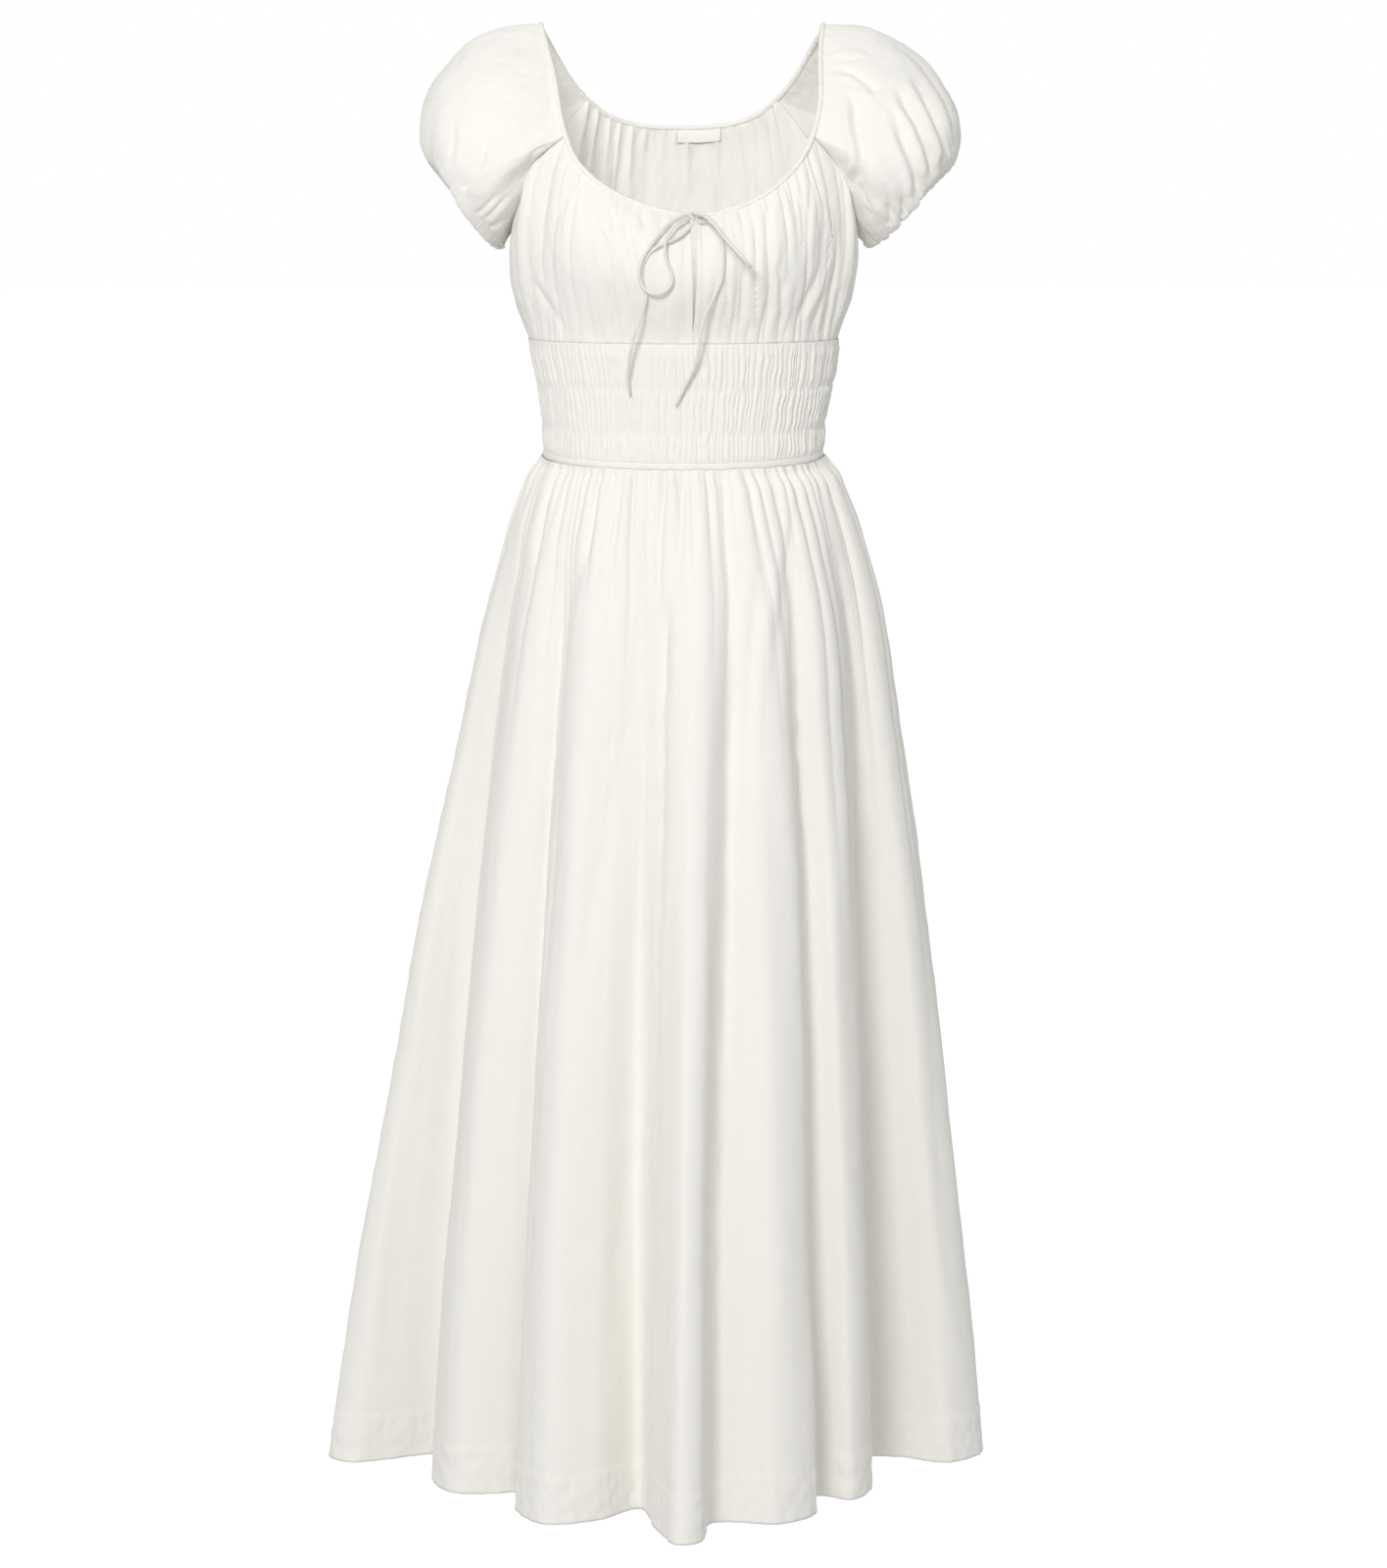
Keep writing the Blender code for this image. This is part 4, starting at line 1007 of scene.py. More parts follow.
@dataclass
class Bow:
    """The drawstring's bow: two loops, two tails and their knot."""

    radius: float = 0.00135
    step: float = 0.0016
    centre: tuple[float, float, float] = (0.0093, -0.1062, -0.1575)
    size: tuple[float, float, float] = (0.0042, 0.0038, 0.0042)
    gap: float = 0.0003
    core_share: float = 0.62  # the radius of the core and of its wrap, as a share of the knot's size
    wrap_share: float = 1.15  # the wrapped strand's radius, as a share of a free strand's
    wrap_turn: tuple[float, float] = (8.0, 78.0)  # degrees about x and y

    def knot_end(self, way: tuple[float, float, float]) -> list[Array]:
        """Where a strand that leaves the knot in a direction starts on it, and the next point on its way."""
        way = unit(np.array(way))
        reach = np.linalg.norm(np.array(self.size) * way) + self.gap
        return [np.array(self.centre) + way * far for far in (reach, reach + 2 * self.radius)]

    def strand(self, strand: Strand, finish: bpy.types.Material, knot: list[bpy.types.Object]) -> None:
        """Makes a loop or a tail as one curve.

        Args:
            strand: The loop or the tail, whose name is its solid's too.
            finish: Its material.
            knot: The pieces of the knot, if this strand carries it; not used.
        """
        route = [*self.knot_end(strand.first), *strand.points]
        if strand.second:
            route += self.knot_end(strand.second)[::-1]
        line = spline(route)[0]
        total = lengths(line)[-1]
        line = at_shares(line, np.linspace(0.0, 1.0, round(total / self.step) + 1))
        curve = bpy.data.curves.new(strand.name + "_cord", "CURVE")
        curve.dimensions = "3D"
        curve.bevel_depth = self.radius
        curve.bevel_resolution = 4
        curve.use_fill_caps = True
        drawn = curve.splines.new("POLY")
        drawn.points.add(len(line) - 1)
        drawn.points.foreach_set("co", np.column_stack([line, np.ones(len(line))]).ravel())
        drawn.use_smooth = True
        piece = placed(new_object(strand.name + "_cord", curve), "binding_cloth", finish, strand.name)

    def knot(self, finish: bpy.types.Material) -> list[bpy.types.Object]:
        """Makes the knot's two pieces: a round core, and a strand wrapped once round it."""
        core_radius = self.core_share * self.size[2]
        bpy.ops.mesh.primitive_uv_sphere_add(
            segments=28, ring_count=18, radius=core_radius, location=self.centre
        )
        core = bpy.context.active_object
        bpy.ops.mesh.primitive_torus_add(
            major_segments=40,
            minor_segments=14,
            major_radius=self.core_share * self.size[1],
            minor_radius=self.wrap_share * self.radius,
            location=self.centre,
            rotation=(*(math.radians(turn) for turn in self.wrap_turn), 0.0),
        )
        wrap = bpy.context.active_object
        for name, piece in (("tie_knot_core", core), ("tie_knot_wrap", wrap)):
            piece.name = name
            select_only(piece)
            bpy.ops.object.transform_apply(location=True, rotation=True, scale=True)
            piece.data.shade_smooth()
            placed(piece, "binding_cloth", finish, "tie_knot")
        return [core, wrap]

    def build(self, finishes: Finishes) -> None:
        """Makes the whole bow."""
        knot = self.knot(finishes.cord)
        for strand in STRANDS:
            self.strand(strand, finishes.cord, knot if strand is STRANDS[-1] else [])


# Skirt

SKIRT_CREASES = [
    # across and up in millimetres, depth, width, flank, ends
    *creases(Face.FRONT, [
        (((-98, -440), (-99, -489), (-103, -579), (-108, -701), (-114, -823)), 5.0, 9.0, 0.30),
        (((-33, -430), (-42, -546), (-69, -697), (-85, -789), (-95, -880)), 3.0, 12.0, 0.25),
        (((-10, -478), (-13, -530), (-16, -640), (-20, -760)), 5.5, 5.0, 0.45, (0.08, 0.5)),
        (((-21, -783), (-43, -949), (-64, -1133)), 2.5, 13.0),
        (((43, -420), (42, -545), (39, -618), (38, -758), (35, -860)), 5.0, 8.0, -0.30),
        (((62, -440), (59, -485), (55, -558), (52, -624)), 3.0, 5.0, 0.4),
        (((94, -385), (86, -440), (77, -502), (56, -624)), 3.0, 5.0, -0.5),
        (((93, -395), (91, -518), (96, -609), (106, -704), (109, -820)), 5.0, 7.0, -0.35),
        (((122, -430), (139, -500), (150, -600), (149, -700), (150, -800)), 6.0, 8.0, -0.5),
        (((-111, -395), (-122, -440), (-146, -543)), 3.0, 5.0, 0.3),
        (((-72, -380), (-78, -430), (-98, -500)), 3.5, 4.5, 0.3),
        (((-52, -375), (-60, -410), (-73, -470)), 3.0, 4.5, 0.3),
        (((-24, -372), (-23, -410), (-22, -470)), 3.0, 4.5, 0.3),
        (((-176, -560), (-186, -700), (-199, -900), (-206, -1050)), 2.5, 12.0, 0.3),
        (((-232, -800), (-248, -1000), (-262, -1180)), 2.0, 13.0),
        (((72, -700), (76, -900), (84, -1100)), -2.0, 15.0),
        (((128, -860), (134, -1010), (142, -1150)), 2.2, 9.0, 0.4),
        (((190, -560), (206, -720), (219, -920), (232, -1120)), 2.6, 12.0, -0.3),
        (((206, -930), (224, -1060), (246, -1180)), -1.8, 9.0),
        (((-103, -500), (-110, -700), (-122, -900), (-132, -1180)), 2.6, 2.8, 0.4, (0.2, 0.2)),
        (((-56, -470), (-60, -620), (-66, -820), (-70, -1000)), 2.0, 2.6, 0.3),
        (((-12, -500), (-17, -700), (-22, -900), (-26, -1120)), 2.6, 3.0, 0.4, (0.1, 0.3)),
        (((40, -520), (37, -760), (33, -980), (28, -1180)), 2.8, 2.8, -0.4, (0.2, 0.2)),
        (((94, -460), (100, -640), (108, -840), (112, -1120)), 2.6, 2.8, -0.4, (0.2, 0.3)),
        (((140, -520), (150, -700), (153, -900), (160, -1140)), 2.6, 2.8, -0.4, (0.2, 0.3)),
    ]),
    *creases(Face.BACK, [
        (((-104, -400), (-118, -520), (-132, -700), (-140, -860)), 4.5, 9.0, 0.3),
        (((-58, -385), (-66, -500), (-80, -680), (-88, -820)), 4.0, 8.0, -0.3),
        (((-18, -380), (-24, -470), (-34, -620), (-44, -760)), 4.5, 7.0, 0.4),
        (((20, -385), (22, -500), (24, -700), (23, -860)), 4.5, 8.0, -0.3),
        (((62, -390), (70, -520), (84, -700)), 4.0, 8.0, 0.3),
        (((104, -400), (118, -520), (138, -700), (148, -880)), 4.5, 9.0, -0.4),
        (((-40, -380), (-44, -440), (-50, -520)), 3.0, 4.5, 0.3),
        (((44, -380), (48, -430), (56, -500)), 3.0, 4.5, -0.3),
        (((150, -500), (172, -660), (190, -860)), 3.0, 11.0, 0.3),
        (((-150, -480), (-172, -640), (-196, -860)), 3.0, 11.0, -0.3),
        (((-10, -820), (-2, -960), (6, -1120)), 2.2, 12.0),
        (((92, -860), (104, -1000), (112, -1150)), 2.4, 11.0, 0.3),
    ]),
    *creases(Face.RIGHT, [
        (((10, -480), (14, -640), (20, -860), (24, -1050)), 3.0, 12.0, 0.3),
        (((56, -520), (66, -700), (80, -900)), 3.0, 11.0, -0.3),
    ]),
    *creases(Face.LEFT, [
        (((-12, -470), (-4, -640), (6, -860)), 3.5, 11.0, 0.3),
        (((46, -500), (58, -680), (76, -900)), 3.0, 12.0, -0.3),
    ]),
]


@dataclass
class Skirt:
    """The gathered skirt: two panels with a turned-up hem and its stitching."""

    columns: int = 480  # on each panel
    waist_rows: int = 30
    body_rows: int = 62
    hem_rows: int = 20
    turned_rows: int = 7
    waist_zone: float = 0.085
    hem_depth: float = 0.042
    hem_step: float = 0.0005
    hem_gap: float = 0.0011
    hem_margin: float = 0.010  # how far above the hem's stitches its close rows start
    back_seed: int = 50  # sets the back's gathers apart from the front's
    crest_share: float = 0.85  # how much of the gathers' depth lies outside the form
    calm_below: float = 0.10  # how far down the cloth's own unevenness is whole
    stitch_drop: float = 0.0012
    long_gathers: Gathers = Gathers(21, 0.0080, (0.12, 0.55), 11, 0.15)
    middle_gathers: Gathers = Gathers(34, 0.0046, (0.05, 0.20), 13, 0.20)
    fine_gathers: Gathers = Gathers(62, 0.0025, (0.016, 0.055), 12, 0.26)
    cut: tuple[float, float] = (0.95, 0.925)

    def drops(self) -> Array:
        """Where the rows lie: close together at the waist and at the hem."""
        waist_end = SKIRT_TOP + self.waist_zone
        hem_start = HEM - self.hem_depth - self.hem_margin
        upper = np.linspace(SKIRT_TOP, waist_end, self.waist_rows, endpoint=False)
        middle = np.linspace(waist_end, hem_start, self.body_rows, endpoint=False)
        return np.concatenate([upper, middle, np.linspace(hem_start, HEM, self.hem_rows)])

    def form(self, drops: Array) -> Array:
        """The skirt's large folds all round, with both side seams among its columns."""
        shares = np.linspace(0.0, 1.0, self.columns, endpoint=False)
        table = np.asarray(HEM_FOLDS, float).reshape(-1, 2)
        line, at = spline(table, closed=True)
        right, left = (at[4 * row] for row in SIDE_SEAM_FOLDS)
        hem = np.concatenate([at_shares(half, shares) for half in (line[right : left + 1], line[left:])])
        hem_width, hem_centre, hem_front, hem_back = read_rows(SKIRT_SECTIONS, HEM)[0]
        hem_deep = np.where(hem[:, 1] < 0, hem_front, hem_back)
        folded = np.stack([(hem[:, 0] - hem_centre) / hem_width, hem[:, 1] / hem_deep], axis=1)
        waist = np.concatenate([half_ring((1.0, 0.0, 1.0, 1.0), turn, shares) for turn in (0.0, 0.5)])
        rows = []
        for drop in drops:
            half_width, centre_x, front, back = read_rows(SKIRT_SECTIONS, drop)[0]
            grown = max((drop - SKIRT_TOP) / (HEM - SKIRT_TOP), 0.0) ** FOLD_GROWTH
            shape = (1 - grown) * waist + grown * folded
            deep = np.where(shape[:, 1] < 0, front, back)
            flat = np.stack([centre_x + half_width * shape[:, 0], deep * shape[:, 1]], axis=1)
            rows.append(np.column_stack([flat, np.full(len(flat), -drop)]))
        return np.stack(rows)

    def surface(self) -> tuple[Array, Array]:
        """The dressed surface and the drops of its rows."""
        drops = self.drops()
        ring = self.form(drops)
        out = grid_normals(ring, closed=True)
        depth = read_rows(SKIRT_GATHER_DEPTHS, drops)
        shares = np.arange(2 * self.columns) / self.columns
        far = np.repeat((drops - SKIRT_TOP)[:, None], 2 * self.columns, axis=1)
        relief = np.repeat(self.crest_share * depth, 2 * self.columns, axis=1)
        spans = lengths(ring[:, : self.columns].swapaxes(0, 1))[-1][:, None]
        part = far[:, : self.columns]
        for gathers in (self.long_gathers, self.middle_gathers, self.fine_gathers):
            behind = replace(gathers, seed=gathers.seed + self.back_seed)
            front, back = (each.relief(shares[: self.columns], part, spans) for each in (gathers, behind))
            relief += np.concatenate([front, back], axis=1) * np.clip(far / 0.006, 0.25, 1.0)
        relief += creased(ring, out, SKIRT_CREASES)
        calm = np.clip(far / self.calm_below, 0.0, 1.0)
        relief += calm * 0.0006 * ripple(ring, 0.060, 3, (1.0, 1.0, 4.0))
        relief += calm * 0.00022 * ripple(ring, 0.016, 4, (1.0, 1.0, 3.0))
        past_hem_top = far - (HEM - SKIRT_TOP - self.hem_depth)
        hem_zone = 1 / (1 + np.exp(-past_hem_top / 0.0007))
        relief += hem_zone * (self.hem_step + 0.00045 * ripple(ring, 0.011, 5, (1.0, 1.0, 1.6)))
        stitch_line = np.exp(-((past_hem_top / 0.0022) ** 2))
        relief -= stitch_line * (0.0004 + 0.0003 * ripple(ring, 0.008, 6))
        return ring + out * relief[..., None], drops

    def turned(self, grid: Array, out: Array, drops: Array) -> Array:
        """The rows of the hem that are turned up inside, from the hem's edge upwards."""
        heights = np.linspace(HEM, HEM - self.hem_depth, self.turned_rows)
        rows = [int(np.argmin(np.abs(drops - height))) for height in heights]
        inner = grid[rows] - out[rows] * self.hem_gap
        return np.concatenate([grid[-1:] - out[-1:] * self.hem_gap / 2, inner])

    def build(self, finishes: Finishes) -> None:
        """Makes both panels and the hem's stitches."""
        grid, drops = self.surface()
        out = grid_normals(grid, closed=True)
        whole = np.concatenate([grid, self.turned(grid, out, drops)])
        ring_columns = grid.shape[1]
        stitch_row = int(np.argmin(np.abs(drops - (HEM - self.hem_depth + self.stitch_drop))))
        for name, first in (("skirt_front", 0), ("skirt_back", self.columns)):
            picked = np.arange(first, first + self.columns + 1) % ring_columns
            piece = sheet_object(name + "_cloth", whole[:, picked], self.cut, wall=0.0)
            placed(piece, "cotton_cloth", finishes.cloth, name)
            line, ways = grid[stitch_row, picked], out[stitch_row, picked]
            stitches = stitch_row_object(name + "_hem_stitches", line, ways, finishes.thread)


def stitch_row_object(
    name: str,
    line: Array,
    ways: Array,
    finish: bpy.types.Material,
    pitch: float = 0.0036,
    size: tuple[float, float, float] = (0.0021, 0.0005, 0.0004),
) -> bpy.types.Object:
    """Makes a row of stitches along a line on the cloth.

    Args:
        name: The piece's name.
        line: Points of the row.
        ways: The cloth's outward normals there.
        finish: The thread's material.
        pitch: The distance from one stitch to the next.
        size: A stitch's length, width and height.

    Returns:
        One mesh of all stitches.
    """
    bpy.ops.mesh.primitive_cylinder_add(vertices=6, radius=0.5, depth=1.0, rotation=(0.0, math.pi / 2, 0.0))
    model = bpy.context.active_object
    select_only(model)
    bpy.ops.object.transform_apply(location=True, rotation=True, scale=True)
    bevel = model.modifiers.new("ends", "BEVEL")
    bevel.width = 0.16
    bevel.segments = 1
    bevel.limit_method = "ANGLE"
    bevel.angle_limit = math.radians(60)
    apply_modifiers(model)
    corners = np.array([v.co for v in model.data.vertices]) * size
    sides = [list(face.vertices) for face in model.data.polygons]
    bpy.data.objects.remove(model)
    far = lengths(line)
    places = np.arange(pitch / 2, far[-1], pitch)
    middles = np.stack([np.interp(places, far, line[:, k]) for k in range(3)], axis=1)
    ahead = unit(np.stack([np.interp(places, far, np.gradient(line[:, k], far)) for k in range(3)], axis=1))
    outward = unit(np.stack([np.interp(places, far, ways[:, k]) for k in range(3)], axis=1))
    side = unit(np.cross(outward, ahead))
    points = (
        middles[:, None]
        + corners[None, :, 0, None] * ahead[:, None]
        + corners[None, :, 1, None] * side[:, None]
        + (corners[None, :, 2, None] + 0.3 * size[2]) * outward[:, None]
    )
    count = len(corners)
    faces = [[corner + k * count for corner in face] for k in range(len(places)) for face in sides]
    mesh = bpy.data.meshes.new(name)
    mesh.from_pydata(points.reshape(-1, 3).tolist(), [], faces)
    mesh.update()
    mesh.shade_smooth()
    piece = new_object(name, mesh)
    return placed(piece, "cotton_cloth", finish)


# Waist


@dataclass
class SmockedWaist:
    """The shirred waist: uneven ribs puffed out between channels of elastic."""

    ribs: int = 77  # on each panel
    per_rib: int = 7
    rows: int = 38
    top: float = SMOCKING_TOP
    bottom: float = 0.3545
    rib_height: float = 0.0026
    puff: float = 0.0003
    tuck: float = 0.0016  # how far it goes down under the waist band
    seam_lift: float = 0.0006  # how far out its upper edge lies, over the bodice's lower edge
    seam_fade: float = 0.0020  # how soon the ribs rise from the seams above and below
    waist_fade: float = 0.0032
    under_band: float = 0.0003
    channel_edge: float = 0.0016
    channel_calm: float = 0.35  # how much lower the ribs are in a channel
    wander: float = 0.16  # how far the ribs stray, as a share of their spacing
    strength: tuple[float, float] = (0.78, 1.8)  # of the ribs at the middle, and its growth for each metre
    channels: tuple[tuple[float, float], ...] = (
        # drop of an elastic channel, half its height
        (0.2640, 0.0036),
        (0.2978, 0.0016),
        (0.3318, 0.0030),
    )
    cut: tuple[float, float] = (0.50, 0.095)

    def calm(self, drops: Array) -> Array:
        """How flat the cloth is at each drop: 1 in a channel and 0 between channels."""
        flat = np.zeros(len(drops))
        for middle, half in self.channels:
            flat = np.maximum(flat, np.exp(-((np.abs(drops - middle) / (half + self.channel_edge)) ** 4)))
        return flat

    def relief(self, drops: Array, shares: Array, seed: int) -> Array:
        """The ribs' height over the body.

        Args:
            drops: The rows' drops.
            shares: Each point's place along the panel.
            seed: Which unevenness it has.

        Returns:
            A height for each point.
        """
        rng = np.random.default_rng(seed)
        calm = self.calm(drops)
        height = np.zeros(shares.shape)
        edges = [self.top, *(middle for middle, _ in self.channels[1:]), self.bottom]
        for upper, lower in zip(edges, edges[1:]):
            inside = np.flatnonzero((drops >= upper) & (drops <= lower + self.tuck))
            steps = rng.uniform(0.5, 1.5, self.ribs)
            borders = np.concatenate([[0.0], np.cumsum(steps) / steps.sum()])
            tall = rng.uniform(0.35, 1.0, self.ribs)
            rib = np.clip(np.searchsorted(borders, shares[inside], side="right") - 1, 0, self.ribs - 1)
            local = (shares[inside] - borders[rib]) / (borders[rib + 1] - borders[rib])
            height[inside] = (1 - np.abs(2 * local - 1) ** 2.4) * tall[rib] * self.rib_height
        height = height * (1 - self.channel_calm * calm)[:, None] + (self.puff * (1 - calm))[:, None]
        seam = np.exp(-(drops - self.top).clip(0.0) / self.seam_fade)[:, None]
        waist = np.exp(-(self.bottom - drops).clip(0.0) / self.waist_fade)[:, None]
        under = np.clip((drops - self.bottom + 0.0008) / 0.0010, 0.0, 1.0)[:, None]
        return height * (1 - seam) * (1 - waist) + self.seam_lift * seam - self.under_band * under

    def build(self, finishes: Finishes) -> None:
        """Makes both panels."""
        shares = np.linspace(0.0, 1.0, self.ribs * self.per_rib + 1)
        drops = np.linspace(self.top, self.bottom + self.tuck, self.rows)
        for name, turn, seed in (("smocked_waist_front", 0.0, 21), ("smocked_waist_back", 0.5, 22)):
            grid = np.stack([waist_ring(drop, turn, shares) for drop in drops])
            out = grid_normals(grid, closed=False)
            wander = self.wander / self.ribs * ripple(grid, 0.026, seed + 8)
            relief = self.relief(drops, np.clip(shares + wander, 0.0, 1.0), seed)
            broken = self.strength[0] + self.strength[1] * grid[..., 0]
            broken += 0.13 * ripple(grid, 0.008, seed + 4, (1.0, 1.0, 1.6))
            broken[0] = 1.0
            grid = grid + out * (relief * broken)[..., None]
            piece = sheet_object(name + "_cloth", grid, self.cut)
            placed(piece, "cotton_cloth", finishes.cloth, name)


@dataclass
class WaistBand:
    """The narrow plain band that covers the waist seam."""

    height: float = 0.0062
    top: float = 0.3548
    bulge: float = 0.0004
    inner_bulge: float = 1.2  # how much more it bulges inwards
    length: float = 0.70
    pucker: float = 0.007
    pucker_depth: float = 0.00022
    columns: int = 320
    section_rows: int = 15

    def build(self, finishes: Finishes) -> None:
        """Makes the band as a flattened hollow tube."""
        shares = np.linspace(0.0, 1.0, self.columns // 2, endpoint=False)
        rows = []
        for angle in np.linspace(0.0, 2 * math.pi, self.section_rows, endpoint=False):
            drop = self.top + self.height * (0.5 - 0.5 * math.cos(angle))
            out_by = self.bulge * math.sin(angle) * (1.0 if math.sin(angle) > 0 else self.inner_bulge)
            rows.append(np.concatenate([waist_ring(drop, turn, shares, out_by) for turn in (0.0, 0.5)]))
        grid = np.stack(rows)
        drift = ripple(grid, self.pucker, 31) * self.pucker_depth
        centre = grid.mean(axis=0)
        grid = grid + unit(grid - centre) * drift[..., None]
        cut = (self.length, 2 * self.height)
        piece = sheet_object("waist_band_cloth", grid, cut, wrapped=True, looped=True, wall=0.0004)
        placed(piece, "binding_cloth", finishes.binding, "waist_band")


# Bodice

BODICE_CREASES = [
    # across and up in millimetres, depth, width, flank, ends
    *creases(Face.FRONT, [
        (((-89, -132), (-102, -158), (-106, -182), (-106, -215)), 2.6, 3.4, 0.4),
        (((-58, -150), (-56, -168)), 1.8, 2.6, 0.3),
        (((-68, -165), (-62, -181), (-63, -210)), 2.0, 3.0, 0.3),
        (((-48, -160), (-41, -181), (-37, -208)), 2.2, 3.0, 0.3),
        (((-35, -149), (-29, -168)), 1.8, 2.6, 0.3),
        (((-62, -206), (-60, -225), (-59, -252)), 2.0, 3.0, 0.3),
        (((-50, -190), (-48, -220), (-48, -250)), 2.2, 3.0, 0.3),
        (((-124, -210), (-116, -222), (-94, -256)), 2.4, 3.2, 0.4),
        (((28, -205), (26, -230), (24, -257)), 2.2, 2.8, 0.3),
        (((49, -196), (50, -220), (51, -252)), 2.2, 2.8, 0.3),
        (((70, -147), (70, -175), (72, -208), (70, -254)), 3.0, 3.0, 0.45, (0.15, 0.2)),
        (((89, -134), (97, -145), (100, -167), (98, -200)), 2.2, 3.0, 0.3),
        (((78, -194), (82, -221), (81, -256)), 2.6, 2.8, 0.4),
        (((104, -128), (114, -146), (121, -176), (118, -204), (108, -229), (97, -256)), -3.0, 3.2),
        (((112, -150), (115, -178), (112, -204), (102, -229), (91, -256)), 2.6, 2.8),
        (((132, -215), (129, -235), (125, -255)), 2.4, 2.8, 0.3),
        (((106, -118), (104, -160), (102, -206), (99, -256)), 2.6, 2.0, 0.3, (0.2, 0.1)),
        (((121, -150), (120, -190), (114, -225), (108, -256)), 2.8, 2.0, 0.4, (0.3, 0.1)),
        (((128, -168), (127, -200), (121, -232), (116, -256)), 2.6, 2.0, 0.3, (0.3, 0.1)),
        (((62, -160), (61, -200), (62, -254)), 2.2, 2.0, 0.3),
        (((38, -170), (37, -210), (38, -256)), 2.0, 2.0, 0.3),
    ]),
    *creases(Face.BACK, [
        (((-60, -96), (-64, -140), (-66, -200)), 2.4, 4.0, 0.3),
        (((-24, -100), (-22, -150), (-18, -215)), 2.2, 4.0, -0.3),
        (((22, -98), (26, -150), (22, -220)), 2.4, 3.6, 0.4),
        (((62, -100), (66, -150), (60, -220)), 2.4, 4.0, -0.3),
        (((96, -130), (104, -170), (98, -235)), 2.6, 4.0, 0.3),
        (((-98, -130), (-104, -175), (-96, -240)), 2.6, 4.0, -0.3),
    ]),
]


